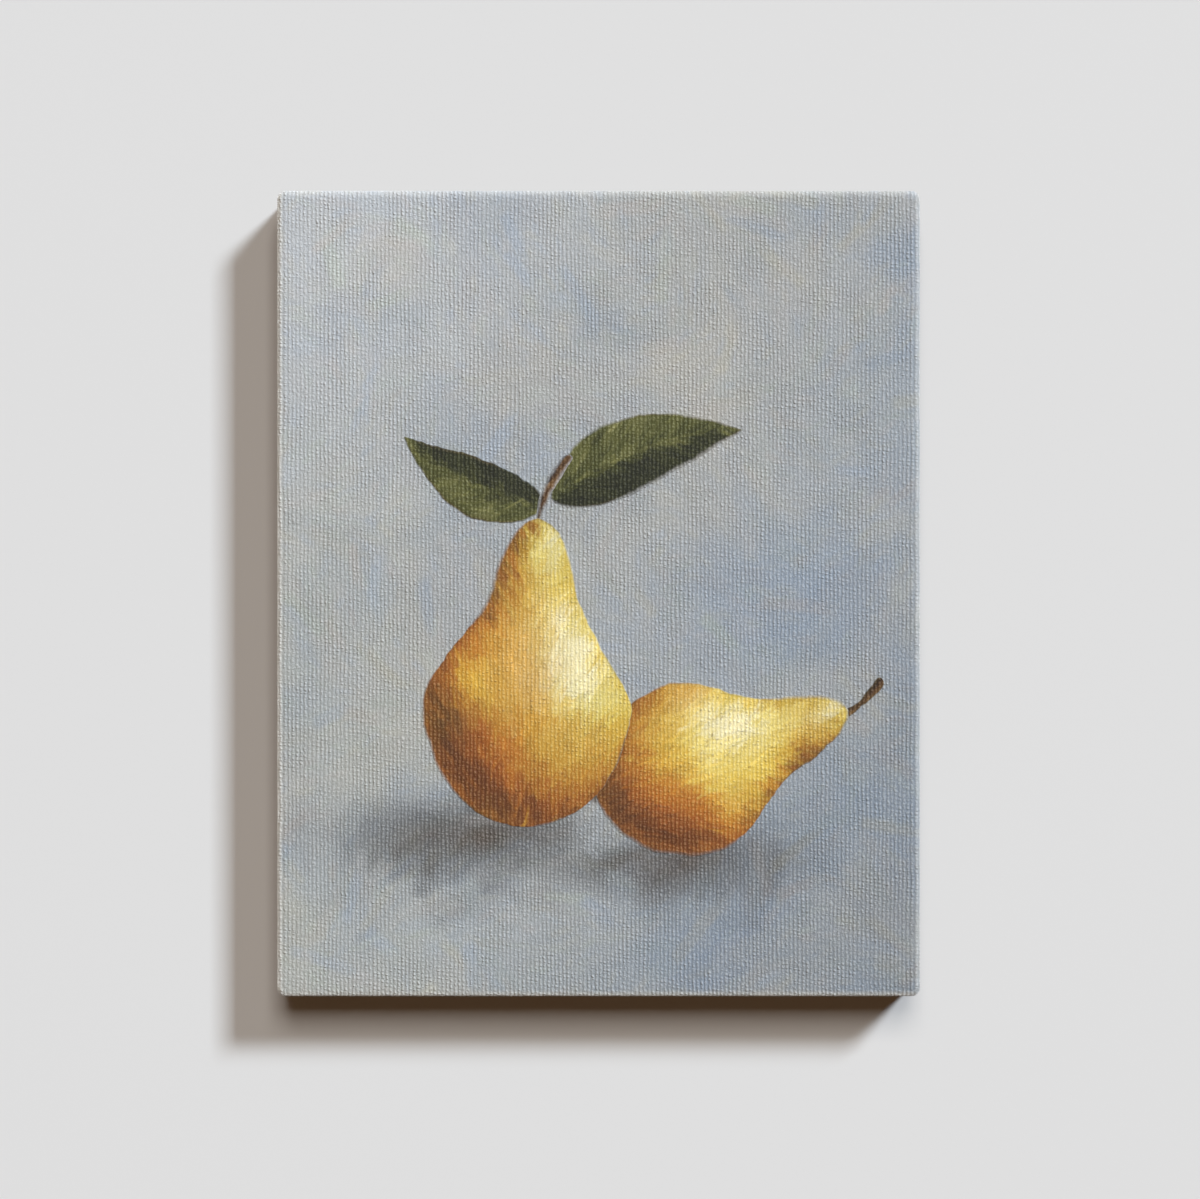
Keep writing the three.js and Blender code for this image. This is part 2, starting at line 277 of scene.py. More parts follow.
PRIMER_SHADED_VALLEY = (0.62, 0.60, 0.54, 1)
RAW_COTTON = (0.60, 0.52, 0.39, 1)
RAW_SHADED_VALLEY = (0.33, 0.27, 0.18, 1)
SEED_FLECK = (0.16, 0.10, 0.05, 1)


def smooth(share):
    share = np.clip(share, 0, 1)
    return share * share * (3 - 2 * share)


def unit(vectors):
    return vectors / (np.linalg.norm(vectors, axis=-1, keepdims=True) + 1e-9)


def drift(x, z, size, seed):
    """A slow random field between -1 and 1, with swells of about that size"""
    lattice = np.random.default_rng(seed).uniform(-1, 1, (64, 64))
    u, v = np.asarray(x) / size + 32, np.asarray(z) / size + 32
    i, j = np.floor(u).astype(int), np.floor(v).astype(int)
    across, up = smooth(u - i), smooth(v - j)
    low, high = (lattice[row % 64, i % 64] * (1 - across) + lattice[row % 64, (i + 1) % 64] * across
                 for row in (j, j + 1))
    return low * (1 - up) + high * up


class Border:
    """Places round the flat front, from the bottom left, with a small arc in each corner"""

    def __init__(self, columns, rows):
        self.columns = np.linspace(-FLAT_X, FLAT_X, columns + 1)
        self.rows = np.linspace(-FLAT_Z, FLAT_Z, rows + 1)
        self.runs, self.arcs = [], []  # the places' numbers along each side, and round the corner after it
        half = CORNER_STEPS // 2
        places, normals, sides = [], [], []
        for side, (out_x, out_z) in enumerate([(0, -1), (1, 0), (0, 1), (-1, 0)]):
            run = (self.columns if out_z else self.rows)[1:-1]
            run = run if side in (BOTTOM, RIGHT) else run[::-1]
            fixed = np.full(len(run), FLAT_Z * out_z if out_z else FLAT_X * out_x)
            turn = math.atan2(out_z, out_x) + np.linspace(0, math.pi / 2, CORNER_STEPS + 1)
            ray = np.stack([np.cos(turn), np.sin(turn)], -1)
            corner = np.sign(ray[half]) * (FLAT_X - FLAT_CORNER, FLAT_Z - FLAT_CORNER)
            places += [np.stack([run, fixed] if out_z else [fixed, run], -1), corner + FLAT_CORNER * ray]
            normals += [np.tile((out_x, out_z), (len(run), 1)), ray]
            self.runs.append(len(sides) + np.arange(len(run)))
            self.arcs.append(len(sides) + len(run) + np.arange(CORNER_STEPS + 1))
            sides += [side] * (len(run) + half) + [(side + 1) % 4] * (CORNER_STEPS + 1 - half)
        self.place = np.concatenate(places)
        self.normal = np.concatenate(normals).astype(float)
        self.count = len(self.place)
        self.face_side = np.array(sides)  # of the face that starts at each place


def wrap(reach):
    """The cloth's outer form at a distance round it from the flat front: out, depth, and the normal"""
    first = np.clip(reach / FRONT_TURN, 0, 1) * math.pi / 2
    side = np.clip(reach - FRONT_TURN, 0, SIDE)
    second = np.clip((reach - FRONT_TURN - SIDE) / EDGE_ROUND, 0, math.pi / 2)
    behind = np.clip(reach - ONTO_BACK, 0, None)
    out = ROUND_OVER * np.sin(first) - EDGE_ROUND * (1 - np.cos(second)) - behind
    depth = FRONT + ROUND_DOWN * (1 - np.cos(first)) + side + EDGE_ROUND * np.sin(second)
    lean = np.stack([ROUND_DOWN * np.sin(first), -ROUND_OVER * np.cos(first)])
    lean = lean / np.hypot(*lean)
    lean_out = np.where(second > 0, np.cos(second), lean[0])
    lean_back = np.where(second > 0, np.sin(second), lean[1])
    return out, depth, lean_out, lean_back


def wrapped(border, reach, lift):
    """Points at these distances round the cloth and lifted off its outer form: rows by border places"""
    out, depth, lean_out, lean_back = wrap(reach)
    out = out + lift * lean_out
    depth = depth + lift * lean_back
    narrower = np.minimum(out, 0)
    wider = np.maximum(out, 0)
    x = border.place[:, 0] * (1 + narrower / FLAT_X) + border.normal[:, 0] * wider
    z = border.place[:, 1] * (1 + narrower / FLAT_Z) + border.normal[:, 1] * wider
    return np.stack([x, depth, z + MIDDLE], -1)


def laid_flat(points, reach, side):
    """Where a point of the wrap lies on the flat cloth, seen as part of one side's strip"""
    x, z = points[..., 0], points[..., 2] - MIDDLE
    flat_x = np.select([side == RIGHT, side == LEFT], [FLAT_X + reach, -FLAT_X - reach], x)
    flat_z = np.select([side == TOP, side == BOTTOM], [FLAT_Z + reach, -FLAT_Z - reach], z)
    return np.stack([flat_x, flat_z], -1)


def cell_corners(grid):
    """What a grid holds at the four corners of each of its cells"""
    return np.stack([grid[:-1, :-1], grid[:-1, 1:], grid[1:, 1:], grid[1:, :-1]], -1)


def map_fit(past):
    """The scale and the middle of a map that holds the flat cloth as far as this past the flat front"""
    scale = 0.5 / (FLAT_Z + past)
    return scale, np.array(((FLAT_X + past) * scale, 0.5))


def wrap_faces(border, rings, reach, shown, fit):
    """Faces between rings of points, from front to back, with their places on the flat cloth and on the map.
    The rings after those that are shown are small on the map, at the side."""
    numbers = np.arange(reach.size).reshape(reach.shape)
    faces = cell_corners(np.concatenate([numbers, numbers[:, :1]], 1))[..., [0, 3, 2, 1]].reshape(-1, 4)
    side = np.tile(border.face_side, len(reach) - 1)[:, None]
    points = rings.reshape(-1, 3)[faces]
    room = WALL_ROOM * (np.arange(len(reach)) >= shown)[:, None]
    flat, apart = (laid_flat(points, each.reshape(-1)[faces], side) for each in (reach, reach + room))
    hidden = (np.arange(len(faces)) >= shown * border.count)[:, None, None]
    scale, centre = fit
    baked = np.where(hidden, apart * scale * HIDDEN_SCALE + HIDDEN_SPOT, apart * scale + centre)
    return faces, flat.reshape(-1, 2), baked.reshape(-1, 2)


def link_object(name, data):
    added = bpy.data.objects.new(name, data)
    scene.collection.objects.link(added)
    return added


def make_piece(name, points, faces, material):
    """A smooth mesh object at the origin, with its place in its points"""
    mesh = bpy.data.meshes.new(name)
    mesh.from_pydata(points, [], faces)
    mesh.shade_smooth()
    mesh.materials.append(material)
    return link_object(name, mesh)


def set_map(piece, name, places):
    """A UV map from one place for each face corner, in the faces' order"""
    layer = piece.data.uv_layers.new(name=name)
    layer.uv.foreach_set("vector", np.asarray(places, np.float32).ravel())


def set_attribute(piece, name, values, kind="FLOAT"):
    layer = piece.data.attributes.new(name, kind, "POINT")
    values = np.asarray(values, np.float32).ravel()
    layer.data.foreach_set("color" if kind == "FLOAT_COLOR" else "value", values)


# Vertical ribs a little wavy and slubby, beaded by the weft that goes over and under them.
# The place is in metres on the cloth as it lay flat.
given = new_group("weave", ["Place", "Clogging"], ["Height", "Valley"])
in_mm = given["Place"] * (1000.0, 1000.0, 0.0)
axes = put(given.tree, "ShaderNodeSeparateXYZ", {0: in_mm})
wander = (noise(in_mm * (0.07, 0.035, 1.0)) - 0.5) * WAVER
sway = (noise(in_mm * (0.035, 0.09, 1.0)) - 0.5) * WAVER
jolt = (noise(in_mm * (0.5, 0.62, 1.0), 1.0) - 0.5) * JOLT
rib_count = (axes["X"] + wander + jolt) / RIB_PITCH
weft_turn = (axes["Y"] + sway) * (2 * math.pi / WEFT_PITCH)
rib = rib_count.do("FLOOR")
across_rib = rib_count.do("FRACT") * (2 * math.pi) - math.pi
dome = across_rib.do("COSINE") * 0.5 + 0.5
slub = noise(combined(rib * 3.71, axes["Y"] * 0.3))
broken = noise(combined(rib * 5.13, axes["Y"] * 0.85))
over = (weft_turn + rib * 0.9 + broken * 12.0).do("COSINE") * 0.5 + 0.5
crest = dome * (over * eased(broken, 0.34, 0.62, 0.2, 1.1) * 0.78 + 0.42) + (slub - 0.5) * 0.6
open_share = eased(noise(in_mm * (0.09, 0.06, 1.0)), 0.32, 0.68, 1.1, given["Clogging"] * -1.0 + 1.0)
fibre = (noise(in_mm * (1.7, 0.95, 1.0), 2.0, 0.6) - 0.5) * 1.3
grit = eased(noise(in_mm * (1.5, 1.0, 1.0), 1.0), 0.66, 0.73) * given["Clogging"] * 1.2
height = (crest - 0.4) * open_share + 0.4 + fibre + grit
weave = end_group(given, Height=height, Valley=eased(height, 0.1, 0.8, 1.0, 0.0))

cotton, tree, shader = new_material("primed_cotton")
place = put(tree, "ShaderNodeUVMap", uv_map="cloth_place")
threads = grouped(tree, weave, Place=place, Clogging=0.12)
outside = put(tree, "ShaderNodeAttribute", output="Fac", attribute_name="primed")
blotch = eased(noise(place * (70.0, 70.0, 0.0), 4.0, 0.6), 0.35, 0.7)
fleck = eased(noise(place * (520.0, 300.0, 0.0), 1.0), 0.74, 0.79)
# The weave's valleys are painted darker on the primer and on the raw cotton alike: painted shade where the
# threads dip. The blotches reuse these darker colours as a random tone.
white = mixed(threads["Valley"], PRIMER, PRIMER_SHADED_VALLEY)
white = mixed(blotch * 0.25, white, PRIMER_SHADED_VALLEY)
raw = mixed(threads["Valley"], RAW_COTTON, RAW_SHADED_VALLEY)
raw = mixed(fleck * 0.7, raw, SEED_FLECK)
raw = mixed(blotch * 0.2, raw, RAW_SHADED_VALLEY)
feed(shader, Base_Color=mixed(outside, raw, white), Roughness=outside * -0.25 + 0.95,
     Normal=relief(threads["Height"], WEAVE_DEPTH), Specular_IOR_Level=0.25)

staple_places = []
for name in sorted(cad_nodes):
    if name.startswith("staple_"):
        low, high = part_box(name)
        staple_places.append(((low.x + high.x) / 2, (low.z + high.z) / 2))


def turnover_relief(points, reach):
    """How the turned-over cloth stands up between the staples and sinks in at them"""
    near = np.full(reach.shape, 1.0)
    for x, z in staple_places:
        near = np.minimum(near, np.hypot(points[..., 0] - x, points[..., 2] - z))
    behind = smooth((reach - ONTO_BACK) / (6 * MM))
    at_edge = smooth((reach - FULL_WRAP + LIFTED) / LIFTED)
    standing = EDGE_LIFT * smooth((near - 5 * MM) / LIFTED)
    waves = EDGE_WAVES[0] * drift(points[..., 0], points[..., 2], EDGE_WAVES[1], 3)
    return behind * ((standing + waves) * at_edge - STAPLE_DENT * np.exp(-((near / DENT_WIDE) ** 2)))


def cotton_canvas():
    border = Border(*CANVAS_CELLS)
    along = np.arange(border.count)
    full = FULL_WRAP + sum(far * drift(along, 0, swell, seed) for far, swell, seed in SHEARED)
    fixed = np.concatenate([
        np.linspace(0, FRONT_TURN, FRONT_RINGS + 1),
        FRONT_TURN + SIDE * np.linspace(0, 1, SIDE_RINGS + 1)[1:],
        FRONT_TURN + SIDE + BACK_TURN * np.linspace(0, 1, BACK_RINGS + 1)[1:]])
    free = np.linspace(0, 1, TURNOVER_RINGS + 1)[1:, None] * (full - fixed[-1]) + fixed[-1]
    reach = np.concatenate([np.repeat(fixed[:, None], border.count, 1), free])
    stands = turnover_relief(wrapped(border, reach, 0), reach)
    under_paint = -PAINT_THICK * (1 - smooth((reach - FRONT_TURN - SIDE) / BACK_TURN))
    rings = np.concatenate([
        wrapped(border, reach, under_paint + stands),
        wrapped(border, reach[::-1], -CLOTH_THICK + stands[::-1])])
    fit = map_fit(FULL_WRAP + 2 * MM)
    faces, flat, baked = wrap_faces(border, rings, np.concatenate([reach, reach[::-1]]), len(reach), fit)
    scale, centre = fit
    outer = np.arange(border.count)
    inner = (outer + (len(rings) - 1) * border.count)[::-1]
    points, faces = [rings.reshape(-1, 3)], [*faces.tolist(), outer.tolist(), inner.tolist()]
    flat = [flat, border.place, border.place[::-1]]
    baked = [baked, border.place * scale * UNDER_SCALE + HIDDEN_SPOT, border.place[::-1] * scale + centre]
    primed = [np.repeat([1.0, 0.0], reach.size)]
    for side_x, side_z in ((1, 1), (-1, 1), (1, -1), (-1, -1)):
        fold_points, fold_faces, fold_flat, fold_baked = pleat(side_x, side_z, fit)
        faces += (fold_faces + sum(map(len, points))).tolist()
        points.append(fold_points)
        flat.append(fold_flat)
        baked.append(fold_baked)
        primed.append(np.ones(len(fold_points)))
    piece = make_piece("cotton_canvas", np.concatenate(points), faces, cotton)
    set_map(piece, "OFBake", np.concatenate(baked))
    set_map(piece, "cloth_place", np.concatenate(flat))
    set_attribute(piece, "primed", np.concatenate(primed))
    return piece


def pleat(side_x, side_z, fit):
    """The spare cloth of one corner, folded flat against the top or bottom and then onto the back"""
    rows, columns = PLEAT_CELLS
    tip, end = FRONT_TURN + PLEAT_START, ONTO_BACK + PLEAT_REACH - EDGE_ROUND
    reach = np.linspace(tip, end, rows)[:, None]
    inward = np.clip(reach - ONTO_BACK + EDGE_ROUND, 0, None)  # from the outer edge, on the back
    run = smooth((reach - tip) / (ONTO_BACK - tip))
    behind = np.clip((inward - EDGE_ROUND) / (PLEAT_REACH - EDGE_ROUND), 0, 1)
    longest = PLEAT_REACH + PLEAT_RUN[0] + (PLEAT_RUN[1] - PLEAT_RUN[0]) * behind
    first = np.maximum(PLEAT_INSET, inward + 0.3 * MM)
    narrow = PLEAT_INSET + PLEAT_NARROW
    last = np.maximum(narrow + (longest - narrow) * run, first + 0.4 * MM)
    share = smooth(np.linspace(0, 1, columns))[None, :]
    away = first + (last - first) * share
    bulge = 1 - np.abs(2 * np.linspace(0, 1, columns) - 1)[None, :] ** 7
    ends = smooth((reach - tip) / (3 * MM)) * (1 - smooth((reach - end + 0.6 * MM) / (0.6 * MM)))
    thick = PLEAT_THICK * (0.12 + 0.88 * bulge) * (0.15 + 0.85 * ends)
    thick = thick + 0.1 * MM * smooth((reach - ONTO_BACK) / BACK_TURN) * bulge
    sheets = []
    for lift in (thick, np.full(thick.shape, -PLEAT_SUNK)):
        out, depth, lean_out, lean_back = wrap(reach + 0 * away)
        up = FLAT_Z + out + lift * lean_out
        sheets.append(np.stack([
            side_x * (HALF_WIDE - away), depth + lift * lean_back, side_z * up + MIDDLE], -1))
    numbers = np.arange(rows * columns).reshape(rows, columns)
    top = cell_corners(numbers).reshape(-1, 4)
    rim = np.concatenate([np.rot90(numbers, side)[0, :-1] for side in range(4)])
    after = np.roll(rim, -1)
    under = numbers.size
    walls = np.stack([after, rim, rim + under, after + under], -1)
    faces = np.concatenate([top, top[:, ::-1] + under, walls])
    flat_x = side_x * (FLAT_X + PLEAT_ASIDE + away)
    flat_z = side_z * (FLAT_Z + reach + 0 * away)
    flat = np.stack([flat_x, flat_z], -1).reshape(-1, 2)
    scale, centre = fit
    upper = flat * scale + centre
    lower = upper + WALL_ROOM * scale * unit(flat - flat.mean(0))
    hidden = flat * scale * UNDER_SCALE + PLEAT_SPOT
    baked = np.concatenate([
        upper[top], hidden[top[:, ::-1]], np.stack([upper[after], upper[rim], lower[rim], lower[after]], 1)])
    if side_x * side_z > 0:
        faces = faces[:, ::-1]
        baked = baked[:, ::-1]
    return np.concatenate(sheets).reshape(-1, 3), faces, flat[faces.ravel() % under], baked.reshape(-1, 2)


canvas = cotton_canvas()
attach(canvas, "root")
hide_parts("canvas")

# Staples
# Galvanised steel wire staples, driven by hand through the turned-over cloth into the bars.
# The gun's jaw leaves the crown slightly scuffed, and the zinc is dull in patches.
ZINC = (0.60, 0.62, 0.64, 1)
ZINC_DULL = (0.38, 0.39, 0.40, 1)
ZINC_RELIEF = 0.03 * MM
galvanised, tree, shader = new_material("galvanised_steel")
patch = noise(object_place(tree) * 900.0, 4.0, 0.6)
scuff = noise(object_place(tree) * (9000.0, 1500.0, 1500.0))
feed(shader, Base_Color=mixed(eased(patch, 0.42, 0.62), ZINC, ZINC_DULL), Roughness=patch * 0.35 + 0.18,
     Normal=relief(scuff * 0.5 + patch * 0.5, ZINC_RELIEF), Metallic=1.0)
for name in cad_nodes:
    if name.startswith("staple_"):
        refinish(name, galvanised)

# Frayed threads
# Cotton threads that work loose along the cut edge of the turnover, bare and curled, on the wood.
FRAY_CELLS = (40, 50)
THREAD_GAP = 0.9 * MM
THREAD_LONG = 1.7 * MM
THREAD_THICK = 0.24 * MM
THREAD_RELIEF = 0.06 * MM
loose_cotton, tree, shader = new_material("loose_cotton")
twist = noise(object_place(tree) * 2500.0, 3.0, 0.6)
age = eased(noise(object_place(tree) * 120.0), 0.4, 0.65)
feed(shader, Base_Color=mixed(age, PRIMER, RAW_COTTON), Roughness=twist * 0.2 + 0.75,
     Normal=relief(twist, THREAD_RELIEF))


def thread_tree():
    """Curled threads set along an edge, pointing to its right, each a little different"""
    tree = bpy.data.node_groups.new("frayed_edge", "GeometryNodeTree")
    kinds = {"Geometry": "Geometry", "Gap": "Float", "Length": "Float", "Thickness": "Float", "Seed": "Int",
             "Material": "Material"}
    for name, kind in kinds.items():
        tree.interface.new_socket(name, in_out="INPUT", socket_type=f"NodeSocket{kind}")
    tree.interface.new_socket("Geometry", in_out="OUTPUT", socket_type="NodeSocketGeometry")
    given = Signal(tree.nodes.new("NodeGroupInput"))
    edge = put(tree, "GeometryNodeMeshToCurve", {"Mesh": given["Geometry"]})
    roots = put(tree, "GeometryNodeCurveToPoints", {"Curve": edge, "Length": given["Gap"]}, mode="LENGTH")
    inward = roots["Tangent"].do("CROSS_PRODUCT", (0.0, 1.0, 0.0))
    aim = put(tree, "FunctionNodeAlignRotationToVector", {"Vector": inward}, axis="X")
    jitter = put(tree, "FunctionNodeRandomValue", {
        0: (-0.25, -0.7, -0.6), 1: (0.2, 0.7, 0.6), "Seed": given["Seed"]}, data_type="FLOAT_VECTOR")
    turned = put(tree, "FunctionNodeRotateRotation", {
        "Rotation": aim, "Rotate By": put(tree, "FunctionNodeEulerToRotation", {0: jitter})},
        rotation_space="LOCAL")
    size = put(tree, "FunctionNodeRandomValue", {
        2: 0.35, 3: 1.5, "Seed": given["Seed"] + 1.0}, 1, data_type="FLOAT")
    line = put(tree, "GeometryNodeCurveQuadraticBezier", {
        "Resolution": 6, "Start": (0.0, 0.0, 0.0), "Middle": (0.6, 0.0, 0.35), "End": (1.0, 0.0, -0.25)})
    longer = put(tree, "ShaderNodeCombineXYZ", {axis: given["Length"] for axis in range(3)})
    long_line = put(tree, "GeometryNodeTransform", {"Geometry": line, "Scale": longer})
    ring = put(tree, "GeometryNodeCurvePrimitiveCircle", {
        "Resolution": 5, "Radius": given["Thickness"] * 0.5})
    thread = put(tree, "GeometryNodeCurveToMesh", {
        "Curve": long_line, "Profile Curve": ring, "Fill Caps": True})
    placed = put(tree, "GeometryNodeInstanceOnPoints", {
        "Points": roots["Points"], "Instance": thread, "Rotation": turned, "Scale": size})
    real = put(tree, "GeometryNodeRealizeInstances", {"Geometry": placed})
    finished = put(tree, "GeometryNodeSetMaterial", {"Geometry": real, "Material": given["Material"]})
    feed(tree.nodes.new("NodeGroupOutput"), {0: finished})
    return tree


def frayed_threads():
    border = Border(*FRAY_CELLS)
    reach = np.full((1, border.count), FULL_WRAP - 0.3 * MM)
    edge = wrapped(border, reach, -CLOTH_THICK * 0.6)[0]
    mesh = bpy.data.meshes.new("cut_edge")
    mesh.from_pydata(edge, [(i, (i + 1) % border.count) for i in range(border.count)], [])
    guide = link_object("cut_edge", mesh)
    tree = thread_tree()
    fray = guide.modifiers.new("fray", "NODES")
    fray.node_group = tree
    values = {"Gap": THREAD_GAP, "Length": THREAD_LONG, "Thickness": THREAD_THICK, "Seed": 7,
              "Material": loose_cotton}
    for socket in tree.interface.items_tree:
        if socket.in_out == "INPUT" and socket.name in values:
            fray[socket.identifier] = values[socket.name]
    evaluated = guide.evaluated_get(bpy.context.evaluated_depsgraph_get())
    plain = bpy.data.meshes.new_from_object(evaluated)
    plain.name = "frayed_threads"
    bpy.data.objects.remove(guide)
    return link_object("frayed_threads", plain)


threads_piece = frayed_threads()
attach(threads_piece, "root")

# Ground paint
# A primer and a thin grey-blue oil ground, brushed over the front and a little way round the edges.
# Broad soft strokes run into each other, cool over warm, and the weave shows through all of them.
GROUND_WIDE, GROUND_HIGH = 210, 260  # mm over which its colour changes
CELL = 0.84  # mm between the film's points
GROUND_CELL = 0.6
GROUND_EDGE = 16.0  # how far past the flat front the ground is painted
PAINT_ENDS = 12.5  # mm down the side
END_WANDERS = ((1.8, 47.5, 51), (0.8, 6.25, 52))  # how far that wanders, in how many points, seed
SUNK = 0.04  # mm that the film lies below the cloth's outer form where it has no body
UNDERSIDE = 0.02 * MM  # how deep the film reaches into the cloth
# How much primer shows on each side's round edge: where the brush skipped, and also painted light, more on
# the left and bottom, which face away from the lamps, so that no edge reads darker than the front
RIM_PRIMER_AND_LIGHT = {"bottom": 0.75, "right": 0.28, "top": 0.22, "left": 1.0}
BRISTLES = 24
# How much darker the paint is in the weave's valleys and paler on its crests: partly paint that pools or
# wears thin, partly painted shade and highlight
VALLEY_SHADE_AND_POOLING = 0.34
PALE_GREY = (191, 196, 202)
MID_GREY = (176, 177, 175)
WARM_GREY = (178, 180, 175)
BLUE_GREY = (151, 163, 177)
DEEP_BLUE_GREY = (146, 159, 176)
STONE = (195, 189, 177)
SHADOW_GREY = (108, 109, 110)
SHADOW_BROWN = (92, 78, 64)


def swatch(colour):
    """A paint's colour as the eye reads it, 0 to 255, turned into amounts of light"""
    share = np.asarray(colour, float) / 255
    return np.where(share <= 0.04045, share / 12.92, ((share + 0.055) / 1.055) ** 2.4)


def mix(first, second, share):
    return first + (second - first) * np.asarray(share)[..., None]


class Passage:
    """A stretch of painting in mm: its colour, the body of its paint and the way that the brush went"""

    def __init__(self, left, right, low, high, cell, seed):
        self.x = np.arange(left, right + cell, cell)
        self.z = np.arange(low, high + cell, cell)
        self.ends = (left, right), (low, high)
        self.cell = cell
        self.hand = np.random.default_rng(seed)
        shape = (len(self.z), len(self.x))
        self.colour = np.zeros((*shape, 3))
        self.body = np.zeros(shape)
        self.turn = np.zeros(shape)

    def grid(self):
        return np.meshgrid(self.x, self.z)

    def anywhere(self):
        return [self.hand.uniform(*ends) for ends in self.ends]

    def near(self, at, spread):
        return [place + self.hand.normal(0, spread) for place in at]

    def at(self, field, x, z):
        """A field of the passage at any places, blended between its points"""
        u = np.clip((x - self.x[0]) / self.cell, 0, len(self.x) - 1.001)
        v = np.clip((z - self.z[0]) / self.cell, 0, len(self.z) - 1.001)
        i, j = u.astype(int), v.astype(int)
        u, v = u - i, v - j
        if field.ndim == 3:
            u, v = u[..., None], v[..., None]
        low = field[j, i] * (1 - u) + field[j, i + 1] * u
        high = field[j + 1, i] * (1 - u) + field[j + 1, i + 1] * u
        return low * (1 - v) + high * v

    def stroke(self, at, turn, length, width, colour, load, body, bend=0.0, soft=0.35, drag=0.3):
        """One pull of a loaded brush: full at its start, broken up by the bristles at its end"""
        reach = math.hypot(length / 2, width / 2 + abs(bend) * length / 4) + self.cell
        left, right = np.searchsorted(self.x, (at[0] - reach, at[0] + reach))
        low, high = np.searchsorted(self.z, (at[1] - reach, at[1] + reach))
        if left == right or low == high:
            return
        x = self.x[left:right][None, :] - at[0]
        z = self.z[low:high][:, None] - at[1]
        along = x * math.cos(turn) + z * math.sin(turn)
        across = z * math.cos(turn) - x * math.sin(turn) - bend * along * along / length
        beside = across / width
        bristle = np.interp(beside, np.linspace(-0.5, 0.5, BRISTLES), self.hand.random(BRISTLES))
        gone = along / length + 0.5
        inside = smooth((0.5 - np.abs(beside)) / (0.5 * soft))
        ends = smooth((gone - 0.04 * bristle) / 0.1) * smooth((1 - gone - drag * bristle) / 0.22)
        cover = load * inside * ends * (0.68 + 0.32 * bristle)
        part = (slice(low, high), slice(left, right))
        self.colour[part] += (colour - self.colour[part]) * cover[..., None]
        ridged = body * (0.6 + 0.4 * np.abs(2 * beside) ** 3 + 0.5 * (bristle - 0.5))
        self.body[part] += (ridged - self.body[part]) * cover
        self.turn[part] = np.where(cover > 0.35 * load, turn, self.turn[part])


def ground_mix(x, z):
    """The ground's colour: pale at the upper left, bluer to the right, with cool and warm patches"""
    to_left = 0.5 - x / GROUND_WIDE
    to_top = 0.5 + z / GROUND_HIGH
    colour = mix(swatch(MID_GREY), swatch(PALE_GREY), smooth(1.6 * to_left * to_top - 0.4))
    cool = smooth(1.25 * (1 - to_left) - 0.9 * to_top + 0.15 + 0.3 * drift(x, z, 52, 11))
    colour = mix(colour, swatch(BLUE_GREY), 0.85 * cool)
    colour = mix(colour, swatch(WARM_GREY), 0.8 * smooth((to_left - 0.35) * (1.1 - to_top) * 1.8))
    blue_patch = smooth((drift(x, z, 38, 21) + 0.4 * drift(x, z, 15, 22)) * 1.1 + 0.1)
    colour = mix(colour, swatch(DEEP_BLUE_GREY), 0.4 * blue_patch)
    stone_patch = smooth((drift(x, z, 34, 31) + 0.5 * drift(x, z, 12, 32)) * 1.1 - 0.05)
    colour = mix(colour, swatch(STONE), 0.34 * stone_patch)
    return colour * (1 - 0.22 * smooth(1.2 * (0.85 - to_left - to_top)))[..., None]


# Two areas of shadow: where it lies, how far it reaches across and up, and its strength
CAST_SHADOWS = [((-39, -77), (50, 14), 0.85), ((22, -85), (46, 12), 0.85)]


def cast_shadow(x, z):
    """How dark the pears' shadows lie on the ground, and how brown they are close in"""
    soft, close = 0, 0
    for (at_x, at_z), (wide, high), strength in CAST_SHADOWS:
        away = np.hypot((x - at_x) / wide, (z - at_z) / high)
        soft = np.maximum(soft, strength * (1 - smooth(away - 0.35)))
        close = np.maximum(close, strength * (1 - smooth(away / 0.62)))
    return soft, close


def shaded_ground(x, z):
    soft, close = cast_shadow(x, z)
    colour = mix(ground_mix(x, z), swatch(SHADOW_GREY), soft)
    return mix(colour, swatch(SHADOW_BROWN), close * 0.85)


# Passes of the brush: how many strokes, their length and width, their load, their unevenness,
# how far they stray from the colour about them, and how soft their sides are
GROUND_STROKES = [(420, 34, 13, 0.6, 0.04, 0.1, 0.8), (900, 19, 6.5, 0.5, 0.035, 0.25, 0.6),
                  (110, 26, 5, 0.5, 0.04, 0.8, 0.5), (1700, 9, 2.6, 0.4, 0.05, 0.55, 0.5)]
STRAY_COLOURS = [(148, 162, 180), (182, 178, 160), (176, 168, 162), (158, 166, 154)]
# The dark where the pears meet: where each stroke lies, its turn, length and width
SEAM_STROKES = [((9.0, -41.5), 1.38, 19, 3.4), ((6.6, -51.0), 1.2, 16, 3.8), ((2.2, -59.5), 1.04, 18, 4.2)]


def brush_ground():
    half_x = FLAT_X / MM + GROUND_EDGE + 2
    half_z = FLAT_Z / MM + GROUND_EDGE + 2
    ground = Passage(-half_x, half_x, -half_z, half_z, GROUND_CELL, 101)
    hand = ground.hand
    ground.colour = shaded_ground(*ground.grid())
    for count, long, wide, load, jitter, stray, soft in GROUND_STROKES:
        for _ in range(count):
            at = ground.anywhere()
            colour = shaded_ground(*ground.near(at, 0.2 * long))
            other = swatch(STRAY_COLOURS[hand.integers(len(STRAY_COLOURS))])
            colour = colour + (other * colour.mean() / other.mean() - colour) * stray
            colour = colour * (1 + hand.normal(0, jitter))
            turn = 0.9 * math.pi * float(drift(*at, 45, 41)) + 0.8 + hand.normal(0, 0.35)
            ground.stroke(
                at, turn, long * hand.uniform(0.6, 1.3), wide * hand.uniform(0.7, 1.2), colour,
                load * hand.uniform(0.6, 1), 0.03 + 0.02 * hand.random(), hand.normal(0, 0.12), soft)
    for at, turn, long, wide in SEAM_STROKES:
        ground.stroke(at, turn, long, wide, swatch(SHADOW_BROWN), 0.95, 0.04, 0.0, 0.8)
    return ground


